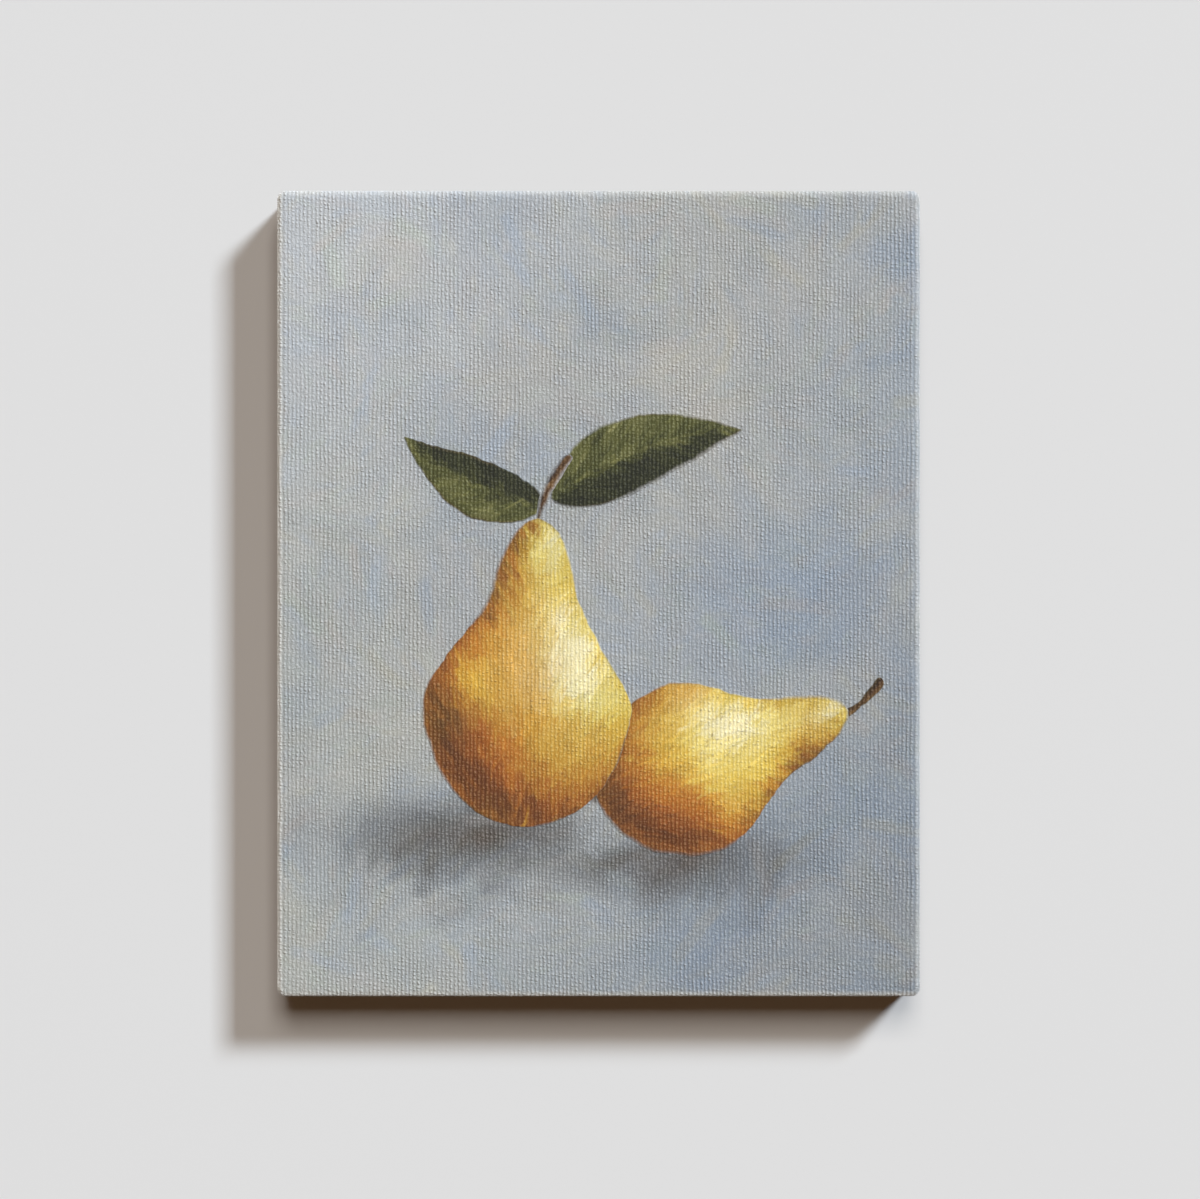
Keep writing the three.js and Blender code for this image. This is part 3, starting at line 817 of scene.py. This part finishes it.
# Fine lines that the brush leaves along its way, from noise stretched in four directions
given = new_group("bristle_marks", ["Place", "Turn"], ["Marks"])
in_mm = given["Place"] * (1000.0, 1000.0, 0.0)
marks = None
for quarter in range(4):
    turn = quarter * math.pi / 4
    turned = put(given.tree, "ShaderNodeVectorRotate", {
        "Vector": in_mm, "Angle": -turn}, rotation_type="Z_AXIS")
    share = (given["Turn"] - turn).do("COSINE").do("ABSOLUTE").do("POWER", 6.0)
    lined = (noise(turned * (0.16, 2.6, 1.0), 2.0, 0.55) - 0.5) * share
    marks = lined if marks is None else marks + lined
bristle_marks = end_group(given, Marks=marks + 0.5)


def oil_paint(name, bristle_depth, weave_share, dullness):
    """Brushed oil paint over the weave: darker and richer in the valleys, where it pools and where painted
    shade lies, and paler on the crests, where it wears thin and a painted highlight lies
    """
    material, tree, shader = new_material(name)
    place = put(tree, "ShaderNodeUVMap", uv_map="cloth_place")
    colour = put(tree, "ShaderNodeAttribute", output="Color", attribute_name="paint_colour")
    turn = put(tree, "ShaderNodeAttribute", output="Fac", attribute_name="brush_turn")
    threads = grouped(tree, weave, Place=place, Clogging=0.45)
    marks = grouped(tree, bristle_marks, Place=place, Turn=turn)
    # Gamma above one darkens the paint in the valleys and below one lightens it on the crests: real pooling
    # and wear, and painted shade and highlight
    shade_and_pooling = (threads["Valley"] - 0.5) * VALLEY_SHADE_AND_POOLING + marks * -0.28 + 1.14
    feed(shader, Base_Color=put(tree, "ShaderNodeGamma", {"Color": colour, "Gamma": shade_and_pooling}),
         Roughness=threads["Valley"] * 0.25 + marks * 0.3 + dullness,
         Normal=relief(threads["Height"] * weave_share + marks * bristle_depth, MM), Specular_IOR_Level=0.4)
    return material


ground_oil = oil_paint("ground_oil", bristle_depth=0.05, weave_share=0.215, dullness=0.42)


def set_paint(piece, colour, turn):
    set_attribute(piece, "paint_colour", np.insert(colour, 3, 1, 1), "FLOAT_COLOR")
    set_attribute(piece, "brush_turn", turn)


def ground_paint():
    border = Border(round(2 * FLAT_X / MM / CELL), round(2 * FLAT_Z / MM / CELL))
    x, z = np.meshgrid(border.columns[1:-1], border.rows[1:-1])
    body = (ground.at(ground.body, x / MM, z / MM) - SUNK) * MM
    front = np.stack([x, FRONT - body, z + MIDDLE], -1)
    inner = x.size

    along = np.arange(border.count)
    ends = PAINT_ENDS + sum(far * drift(along, 0, swell, seed) for far, swell, seed in END_WANDERS)
    steps = np.concatenate([np.linspace(0, 0.2, 9), np.linspace(0.2, 1, 7)[1:]])[:, None]
    reach = steps * (FRONT_TURN + ends * MM)
    on_flat = laid_flat(wrapped(border, reach, 0), reach, border.face_side)
    body = (ground.at(ground.body, *np.moveaxis(on_flat / MM, -1, 0)) - SUNK) * MM
    lift = body * (1 - steps) - (PAINT_THICK - UNDERSIDE) * smooth((steps - 0.7) / 0.3)
    under_reach = reach[[-1, 11, 7, 4, 0]]  # a few rings are enough for the underside
    under_flat = laid_flat(wrapped(border, under_reach, 0), under_reach, border.face_side)
    all_reach = np.concatenate([reach, under_reach])
    rings = np.concatenate([
        wrapped(border, reach, lift), wrapped(border, under_reach, -PAINT_THICK - UNDERSIDE)])

    # The front's points and faces: its outer points are the first ring of the wrap
    numbers = np.zeros((len(border.rows), len(border.columns)), int)
    numbers[1:-1, 1:-1] = np.arange(inner).reshape(x.shape)
    for side, run in enumerate(border.runs):
        np.rot90(numbers, side)[0, 1:-1] = run + inner
    corner_faces = [[*(arc + inner).tolist(), *np.rot90(numbers, side)[[1, 1, 0], [-1, -2, -2]].tolist()]
                    for side, arc in enumerate(border.arcs)]
    keep = np.ones((numbers.shape[0] - 1, numbers.shape[1] - 1), bool)
    keep[[0, 0, -1, -1], [0, -1, 0, -1]] = False
    front_faces = [*cell_corners(numbers)[keep].tolist(), *corner_faces]
    whole_flat = np.concatenate([np.stack([x, z], -1).reshape(-1, 2), border.place])
    front_flat = whole_flat[np.concatenate(front_faces)]
    fit = map_fit(FRONT_TURN + (PAINT_ENDS + sum(far for far, *_ in END_WANDERS) + 1) * MM)
    scale, centre = fit
    faces, flat, baked = wrap_faces(border, rings, all_reach, len(steps), fit)
    closing = (np.arange(border.count) + inner + (len(rings) - 1) * border.count)[::-1]
    points = np.concatenate([front.reshape(-1, 3), rings.reshape(-1, 3)])
    piece = make_piece("ground_paint", points, [
        *front_faces, *(faces + inner).tolist(), closing.tolist()], ground_oil)
    set_map(piece, "OFBake", np.concatenate([
        front_flat * scale + centre, baked, border.place[::-1] * scale * UNDER_SCALE + HIDDEN_SPOT]))
    set_map(piece, "cloth_place", np.concatenate([front_flat, flat, border.place[::-1]]))

    spot_x, spot_z = np.concatenate([
        whole_flat[:inner], on_flat.reshape(-1, 2), under_flat.reshape(-1, 2)]).T / MM
    colour = ground.at(ground.colour, spot_x, spot_z)
    round_edge = np.concatenate([np.zeros(inner), all_reach.ravel()]) / FRONT_TURN
    # Primer on the round edge: partly skipped by the brush, partly painted light that brightens the edges
    # which face away from the lamps
    rim_primer_and_light = smooth((round_edge - 0.02) / 0.6) * (1 - 0.6 * smooth((round_edge - 1) / 1.2))
    right, up = border.normal.T
    side_primer_and_light = np.where(right > 0, RIM_PRIMER_AND_LIGHT["right"], RIM_PRIMER_AND_LIGHT["left"]) * right ** 2 + np.where(
        up > 0, RIM_PRIMER_AND_LIGHT["top"], RIM_PRIMER_AND_LIGHT["bottom"]) * up ** 2
    side_primer_and_light = np.concatenate([np.zeros(inner), np.tile(side_primer_and_light, len(rings))])
    rim_primer_and_light = np.clip(rim_primer_and_light * (side_primer_and_light + 0.1 * drift(spot_x, spot_z, 4, 53)), 0, 1)
    colour = mix(colour, np.array(PRIMER[:3]), rim_primer_and_light)
    set_paint(piece, colour, ground.at(ground.turn, spot_x, spot_z))
    return piece


ground = brush_ground()
ground_piece = ground_paint()
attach(ground_piece, "root")

# Fruit, leaves and stems
# Richer oil paint laid over the dry ground, each shape a layer of its own with a brushed edge.
# Two pears, one standing and one lying behind it, are lit from the upper right.
SHAPE_CELL = 0.3
LAYER = (0.03, 0.07)  # mm that a shape stands above the ground at its edge and within
LAYER_SUNK = 0.09 * MM  # its underside, into the cloth
LAYER_SPOT = (0.975, 0.005)
LAYER_SCALE = 0.02
LOST_EDGE = 0.75  # how far an edge sinks into the ground's colour, where it is soft
LINED_EDGE = 0.6  # and into the outline's
LAYER_RISE = 0.9  # mm in from its edge
OVERLAP = 0.05  # mm that a shape reaches under the one in front of it
BRUSHED_PAST = 2.5  # mm past its edge that are brushed with it
EDGE_WANDER = ((0.45, 6), (0.2, 1.6))  # mm that a brushed edge wanders, and how long its swells are
# Where each pear's foot is from the middle of the canvas, how it leans, its length and its width, in mm
STANDING_PEAR = ((-25, -74), 0.06, 98, 64)
LYING_PEAR = ((0, -66), 1.22, 84, 54)
# The two ends of each stalk and leaf, its width and its bow, in mm
STALK = ((-20, 18), (-9, 44), 3.4, 2.2)
SIDE_STALK = ((75, -40), (90, -27), 3.0, -1.5)
LONG_LEAF = ((-15, 30), (46, 52), 24, 5)
SHORT_LEAF = ((-17, 27), (-62, 50), 19, 4)
VEIN_GAP = 6.5
PEAR_LIGHT = (0.52, 0.56, 0.65)  # right, up and forwards
PEAR_TONES = [(0, (70, 43, 26)), (0.15, (116, 70, 34)), (0.3, (168, 106, 46)), (0.46, (200, 145, 56)),
              (0.62, (219, 180, 74)), (0.8, (229, 200, 98)), (0.93, (240, 222, 142)), (1, (247, 236, 188))]
PEAR_BLUSH = (184, 98, 48)
PEAR_GREEN = (140, 140, 66)
SPECKLE = (116, 74, 40)
OUTLINE = (92, 76, 44)
LEAF_TONES = [(0, (30, 32, 22)), (0.35, (52, 54, 32)), (0.6, (76, 78, 42)), (0.8, (106, 106, 62)),
              (1, (150, 146, 98))]
STEM_TONES = [(0, (46, 32, 22)), (0.5, (88, 62, 38)), (1, (150, 116, 74))]
# Passes of the brush: how many strokes, their length and width, their load, their unevenness, their body
PEAR_STROKES = [(260, 17, 5.6, 0.95, 0.05, 0.06), (420, 10, 3.2, 0.85, 0.08, 0.1),
                (300, 12, 1.1, 0.6, 0.16, 0.14), (260, 5, 1.8, 0.75, 0.1, 0.15)]
LEAF_STROKES = [(60, 12, 3.4, 0.9, 0.08, 0.06), (150, 7, 1.7, 0.8, 0.16, 0.1), (90, 9, 0.7, 0.6, 0.35, 0.12)]
STEM_STROKES = [(60, 6, 1.3, 0.6, 0.08, 0.1)]


def toned(tones, share):
    shares, colours = zip(*tones)
    return swatch(np.stack([np.interp(share, shares, channel) for channel in zip(*colours)], -1))


class Pear:
    """A pear turned about its own core, from its foot to its neck, in mm on the front"""

    def __init__(self, foot, lean, long, wide):
        self.foot, self.long, self.wide = foot, long, wide
        self.up = math.sin(lean), math.cos(lean)
        self.lean = lean

    def radius(self, share):
        share = np.clip(share, 0, 1)
        round_ends = np.sqrt(1 - np.abs(2 * share - 1) ** 2.4)
        return self.wide / 2 * round_ends * (1 - 0.55 * smooth((share - 0.36) / 0.42)) * 1.06

    def form(self, x, z):
        """How far in from the outline, how far along the core, and which way the skin faces"""
        x, z = x - self.foot[0], z - self.foot[1]
        along = x * self.up[0] + z * self.up[1]
        across = x * self.up[1] - z * self.up[0]
        share = along / self.long
        radius = self.radius(share)
        slope = (self.radius(share + 0.01) - self.radius(share - 0.01)) / (0.02 * self.long)
        beyond = np.clip(np.maximum(-along, along - self.long), 0, None)
        inside = (radius - np.abs(across)) / np.sqrt(1 + slope * slope) - beyond
        forward = np.sqrt(np.clip(radius * radius - across * across, 0, None))
        facing = unit(np.stack([across, -radius * slope, forward], -1))
        right = facing[..., 0] * self.up[1] + facing[..., 1] * self.up[0]
        upward = facing[..., 1] * self.up[1] - facing[..., 0] * self.up[0]
        return inside, share, right, upward, facing[..., 2]

    def tint(self, x, z):
        _, share, right, upward, forward = self.form(x, z)
        lit = right * PEAR_LIGHT[0] + upward * PEAR_LIGHT[1] + forward * PEAR_LIGHT[2]
        bounced = 0.2 * smooth((0.25 - lit) * 1.4) * smooth((0.75 - forward) * 1.6)
        tone = 0.06 + 0.86 * smooth((lit + 0.3) / 1.38) + bounced + 0.04 * drift(x, z, 7, 61)
        shine = np.exp(-((1 - np.clip(lit, -1, 1)) / 0.035) ** 1.3)
        colour = toned(PEAR_TONES, tone + 0.12 * shine)
        blush = smooth(0.5 + 0.9 * drift(x, z, 24, 71) - 0.55 * right) * smooth((lit + 0.3) * 1.2)
        colour = mix(colour, colour * swatch(PEAR_BLUSH) / swatch(PEAR_TONES[4][1]), 0.42 * blush)
        green = smooth((share - 0.62) / 0.3) * 0.4 + 0.3 * smooth(drift(x, z, 18, 81) * 1.3)
        return mix(colour, swatch(PEAR_GREEN) * np.asarray(0.35 + 1.1 * tone)[..., None], green * 0.6)

    def way(self, x, z):
        """The brush follows the belly round, from the foot to the neck"""
        _, _, right, upward, _ = self.form(x, z)
        sideways = right * self.up[1] - upward * self.up[0]
        return math.pi / 2 - self.lean - 0.75 * sideways


class Leaf:
    """A pointed leaf or a stem, from its stalk to its tip, bowed to one side"""

    def __init__(self, start, tip, wide, bow, tones, veined):
        self.start, self.wide, self.bow, self.tones, self.veined = start, wide, bow, tones, veined
        self.long = math.dist(start, tip)
        self.turn = math.atan2(tip[1] - start[1], tip[0] - start[0])

    def form(self, x, z):
        x, z = x - self.start[0], z - self.start[1]
        along = x * math.cos(self.turn) + z * math.sin(self.turn)
        share = np.clip(along / self.long, 0, 1)
        across = z * math.cos(self.turn) - x * math.sin(self.turn) - self.bow * 4 * share * (1 - share)
        if self.veined:
            half = self.wide / 2 * np.sin(math.pi * share ** 0.72) ** 0.9
        else:
            half = self.wide / 2 * (0.72 + 0.55 * share * share) * np.sqrt(1 - (2 * share - 1) ** 16)
        beyond = np.clip(np.maximum(-along, along - self.long), 0, None)
        return half - np.abs(across) - beyond, along, across, share

    def tint(self, x, z):
        _, along, across, share = self.form(x, z)
        side = across / self.wide * 2
        if not self.veined:
            lit = side * math.copysign(1, math.sin(self.turn))
            return toned(self.tones, 0.42 - 0.5 * lit + 0.1 * drift(x, z, 3, 62))
        vein = 0.5 + 0.5 * np.cos(2 * math.pi * (along - 1.3 * np.abs(across)) / VEIN_GAP)
        middle = np.exp(-((across / 0.8) ** 2)) * smooth(share * 8)
        tone = 0.42 + 0.26 * np.tanh(side * 2.5) + 0.16 * vein * (1 - middle) + 0.42 * middle
        return toned(self.tones, tone + 0.12 * drift(x, z, 5, 63))

    def way(self, x, z):
        _, _, across, share = self.form(x, z)
        lean = self.bow * 4 * (1 - 2 * share) / self.long
        return self.turn + lean + (0.55 * np.tanh(across) if self.veined else 0)


class Brushed:
    """A shape with the uneven edge of a brush, as far as the shape in front of it leaves it in sight"""

    def __init__(self, shape, seed, front_one=None):
        self.shape, self.seed, self.front_one = shape, seed, front_one
        self.tint, self.way = shape.tint, shape.way

    def edge(self, x, z):
        wander = sum(far * drift(x, z, swell, self.seed + i) for i, (far, swell) in enumerate(EDGE_WANDER))
        return self.shape.form(x, z)[0] + wander

    def inside(self, x, z):
        own = self.edge(x, z)
        return np.minimum(own, OVERLAP - self.front_one.edge(x, z)) if self.front_one else own


def cut_out(inside):
    """A grid's cells cut along the line where the field is nought: places in rows and columns, faces, rims"""
    keep = inside > 0
    numbers = np.cumsum(keep).reshape(keep.shape) - 1
    places = np.argwhere(keep).tolist()
    kept = cell_corners(keep)
    whole = kept.all(-1)
    faces = cell_corners(numbers)[whole].tolist()
    crossings, follows = {}, {}
    for row, column in np.argwhere(kept.any(-1) & ~whole).tolist():
        corners = [(row, column), (row, column + 1), (row + 1, column + 1), (row + 1, column)]
        face, on_rim = [], []
        for here, after in zip(corners, corners[1:] + corners[:1]):
            if keep[here]:
                face.append(int(numbers[here]))
            if keep[here] != keep[after]:
                low, high = min(here, after), max(here, after)
                if (low, high) not in crossings:
                    share = min(max(inside[low] / (inside[low] - inside[high]), 0.04), 0.96)
                    crossings[low, high] = len(places)
                    places.append([low[0] + share * (high[0] - low[0]), low[1] + share * (high[1] - low[1])])
                face.append(crossings[low, high])
                on_rim.append((crossings[low, high], bool(keep[here])))
        faces.append(face)
        for index, (point, leaving) in enumerate(on_rim):
            if leaving:
                follows[point] = on_rim[(index + 1) % len(on_rim)][0]
    rims = []
    while follows:
        rim = [next(iter(follows))]
        while rim[-1] in follows:
            rim.append(follows.pop(rim[-1]))
        rims.append(rim[:-1])
    return np.array(places), faces, rims


def reach_of(shape):
    """The left, right, low and high ends of a shape, with a little room"""
    x, z = np.meshgrid(*(np.arange(-half, half, MM) / MM for half in (HALF_WIDE, HALF_HIGH)))
    found = shape.inside(x, z) > -BRUSHED_PAST
    return x[found].min(), x[found].max(), z[found].min(), z[found].max()


def brush_shape(shape, strokes, seed):
    """The painting of one shape, over a little more than its outline"""
    passage = Passage(*reach_of(shape), SHAPE_CELL, seed)
    hand = passage.hand
    passage.colour = shape.tint(*passage.grid())
    for count, long, wide, load, jitter, body in strokes:
        done = 0
        while done < count:
            at = passage.anywhere()
            if shape.inside(*at) < -0.3 * wide:
                continue
            done += 1
            colour = shape.tint(*passage.near(at, 0.16 * long)) * (1 + hand.normal(0, jitter))
            turn = float(shape.way(*at)) + hand.normal(0, 0.3)
            passage.stroke(
                at, turn, long * hand.uniform(0.6, 1.3), wide * hand.uniform(0.7, 1.2), colour,
                load * hand.uniform(0.65, 1), body * hand.uniform(0.4, 1), hand.normal(0, 0.1), 0.3)
    return passage


def speckle(passage, shape, count):
    """The small brown dots of a pear's skin, touched in with the tip of a brush"""
    hand = passage.hand
    for _ in range(count):
        at = passage.anywhere()
        if shape.inside(*at) > 1.5:
            passage.stroke(at, hand.uniform(0, math.pi), hand.uniform(0.8, 1.5), hand.uniform(0.7, 1.1),
                           swatch(SPECKLE), hand.uniform(0.25, 0.6), 0.1, 0, 0.9, 0)


def painted_shape(name, shape, strokes, seed, material, dots=0):
    passage = brush_shape(shape, strokes, seed)
    speckle(passage, shape, dots)
    x, z = passage.grid()
    places, faces, rims = cut_out(shape.inside(x, z))
    x = passage.x[0] + places[:, 1] * SHAPE_CELL
    z = passage.z[0] + places[:, 0] * SHAPE_CELL
    depth_in = np.clip(shape.edge(x, z), 0, None)
    within = smooth(np.clip(shape.inside(x, z), 0, None) / LAYER_RISE)
    top = LAYER[0] + (LAYER[1] - LAYER[0] + passage.at(passage.body, x, z)) * within
    top = top + ground.at(ground.body, x, z) - SUNK
    points = np.stack([x * MM, FRONT - top * MM, z * MM + MIDDLE], -1)
    soft = 0.25 + 1.1 * smooth(0.5 + drift(x, z, 17, seed + 2))
    lost = LOST_EDGE * (1 - smooth(depth_in / soft))
    lined = LINED_EDGE * (1 - smooth(depth_in / 1.3)) * smooth(0.45 + 1.2 * drift(x, z, 13, seed + 3))
    colour = mix(passage.at(passage.colour, x, z), swatch(OUTLINE), lined)
    colour = mix(colour, ground.at(ground.colour, x, z), lost)
    turn = passage.at(passage.turn, x, z)

    below = len(points)
    repeated = np.concatenate([np.arange(below), *rims])
    points = points[repeated]
    points[below:, 1] = FRONT + LAYER_SUNK
    flat = points[:, [0, 2]] - (0, MIDDLE)
    apart = flat.copy()
    start = below
    for rim in rims:
        lower = start + np.arange(len(rim))
        faces += np.stack([np.roll(rim, -1), rim, lower, np.roll(lower, -1)], -1).tolist()
        faces.append(lower[::-1].tolist())
        along = flat[np.roll(rim, -1)] - flat[np.roll(rim, 1)]
        apart[lower] += WALL_ROOM * unit(np.stack([along[:, 1], -along[:, 0]], -1))
        start += len(rim)
    piece = make_piece(name, points, faces, material)
    order = np.concatenate(faces)
    hidden = np.repeat([min(face) >= below for face in faces], [len(face) for face in faces])[:, None]
    low = flat.min(0) - 0.5 * MM
    span = (flat.max(0) - low).max() * 1.02 + 0.5 * MM
    baked = (apart[order] - low) / span
    set_map(piece, "OFBake", np.where(hidden, baked * LAYER_SCALE + LAYER_SPOT, baked))
    set_map(piece, "cloth_place", flat[order])
    set_paint(piece, colour[repeated], turn[repeated])
    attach(piece, "root")
    return piece


standing = Brushed(Pear(*STANDING_PEAR), 210)
lying = Brushed(Pear(*LYING_PEAR), 220, front_one=standing)
stalk = Brushed(Leaf(*STALK, STEM_TONES, veined=False), 230, front_one=standing)
side_stalk = Brushed(Leaf(*SIDE_STALK, STEM_TONES, veined=False), 240, front_one=lying)
long_leaf = Brushed(Leaf(*LONG_LEAF, LEAF_TONES, veined=True), 250, front_one=stalk)
short_leaf = Brushed(Leaf(*SHORT_LEAF, LEAF_TONES, veined=True), 260, front_one=stalk)
pear_oil = oil_paint("pear_oil", bristle_depth=0.06, weave_share=0.17, dullness=0.38)
leaf_oil = oil_paint("leaf_oil", bristle_depth=0.07, weave_share=0.17, dullness=0.4)
fruit = [
    painted_shape("lying_pear_paint", lying, PEAR_STROKES, 201, pear_oil, 120),
    painted_shape("standing_pear_paint", standing, PEAR_STROKES, 202, pear_oil, 170),
    painted_shape("stalk_paint", stalk, STEM_STROKES, 203, leaf_oil),
    painted_shape("side_stalk_paint", side_stalk, STEM_STROKES, 204, leaf_oil),
    painted_shape("long_leaf_paint", long_leaf, LEAF_STROKES, 205, leaf_oil),
    painted_shape("short_leaf_paint", short_leaf, LEAF_STROKES, 206, leaf_oil),
]

# The wall, the floor, the light and the camera
# The canvas hangs on a plain pale wall, seen straight on. Nothing here is part of the object.
WALL_GREY = 0.745
FLOOR_GREY = 0.5  # it faces up, towards more of the light
WALL_RELIEF = 0.01 * MM
LENS = 100
SENSOR = 36
VIEW_WIDE = 380.5 * MM  # what the picture takes in, at the canvas's front
VIEW_AIM = (0.45 * MM, -1.9 * MM)  # from the middle of the canvas
ROOM_WIDE = 0.62
FLOOR_WIDE = 3
FLOOR_DOWN = 0.25
LAMP_AWAY = 45.0
# Each lamp's direction from the canvas (right, back, up), its width and its share of the wall's light
LAMPS = [
    ((0.98, -1, 1.0), 8.25, (0.56, 0.615, 0.665)),
    ((0.05, -1, 0.58), 19.5, (0.40, 0.375, 0.345)),
    ((-0.6, -1, 0.5), 19.5, (0.03, 0.02, 0.012)),
    ((-0.7, 1, 0.9), 10.5, (0.62, 0.62, 0.62)),
    ((1.2, 1, 0.4), 18.0, (0.28, 0.28, 0.28)),
]
ROOM_LIGHT = (0.036, 0.014, 0.002, 1)


def plain_material(name, grey, seen_from_behind):
    """A matt painted surface, with the faint unevenness of a roller"""
    material, tree, shader = new_material(name)
    feed(shader, Base_Color=(grey, grey, grey, 1), Roughness=1.0, Specular_IOR_Level=0.0,
         Normal=relief(noise(object_place(tree) * 400.0, 3.0), WALL_RELIEF))
    if not seen_from_behind:
        behind = put(tree, "ShaderNodeNewGeometry", output="Backfacing")
        clear = put(tree, "ShaderNodeBsdfTransparent")
        feed(tree.nodes["Material Output"], Surface=put(tree, "ShaderNodeMixShader", {
            0: behind, 1: Signal(shader), 2: clear}))
    return material


object_back = max(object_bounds()[1].y, canvas_high.y)
wall_y = object_back + 0.1 * MM
floor_z = canvas_low.z - FLOOR_DOWN
wall_top = MIDDLE + ROOM_WIDE
corners = ((-1, 0), (1, 0), (1, 1), (-1, 1))
wall = make_piece(
    "wall", [(x * ROOM_WIDE, wall_y, wall_top if z else floor_z) for x, z in corners], [range(4)],
    plain_material("wall_paint", WALL_GREY, False))
floor = make_piece(
    "floor", [(x * FLOOR_WIDE, (2 * y - 1) * FLOOR_WIDE, floor_z) for x, y in corners], [range(4)],
    plain_material("floor_paint", FLOOR_GREY, True))
wall.visible_shadow = False
floor.visible_shadow = False
floor.visible_diffuse = False

for number, (direction, size, share) in enumerate(LAMPS):
    lamp = bpy.data.lights.new(f"lamp_{number}", "AREA")
    lamp.shape = "SQUARE"
    lamp.size = size
    toward = Vector(direction).normalized()
    lamp.energy = (math.pi * LAMP_AWAY) ** 2 / abs(toward.y)
    lamp.color = share
    holder = link_object(lamp.name, lamp)
    holder.location = Vector((0, 0, MIDDLE)) + toward * LAMP_AWAY
    holder.rotation_euler = toward.to_track_quat("Z", "Y").to_euler()

world = bpy.data.worlds.new("room")
world.use_nodes = True
scene.world = world
seen = put(world.node_tree, "ShaderNodeLightPath", output="Is Camera Ray")
feed(world.node_tree.nodes["Background"], Color=mixed(seen, ROOM_LIGHT, (WALL_GREY, WALL_GREY, WALL_GREY, 1)))
# The wall is even right up to the canvas, so the cloth and the bars throw no light back on it
for piece in (canvas, ground_piece, *(cad_nodes[f"stretcher_bar_{side}"] for side in BAR_GRAIN)):
    piece.visible_diffuse = False

scene.view_settings.view_transform = "Standard"
camera_data = bpy.data.cameras.new("camera")
camera_data.lens = LENS
camera_data.sensor_width = SENSOR
camera = link_object("camera", camera_data)
away = VIEW_WIDE * LENS / SENSOR
camera.location = (VIEW_AIM[0], FRONT - away, MIDDLE + VIEW_AIM[1])
camera.rotation_euler = (math.pi / 2, 0, 0)
scene.camera = camera
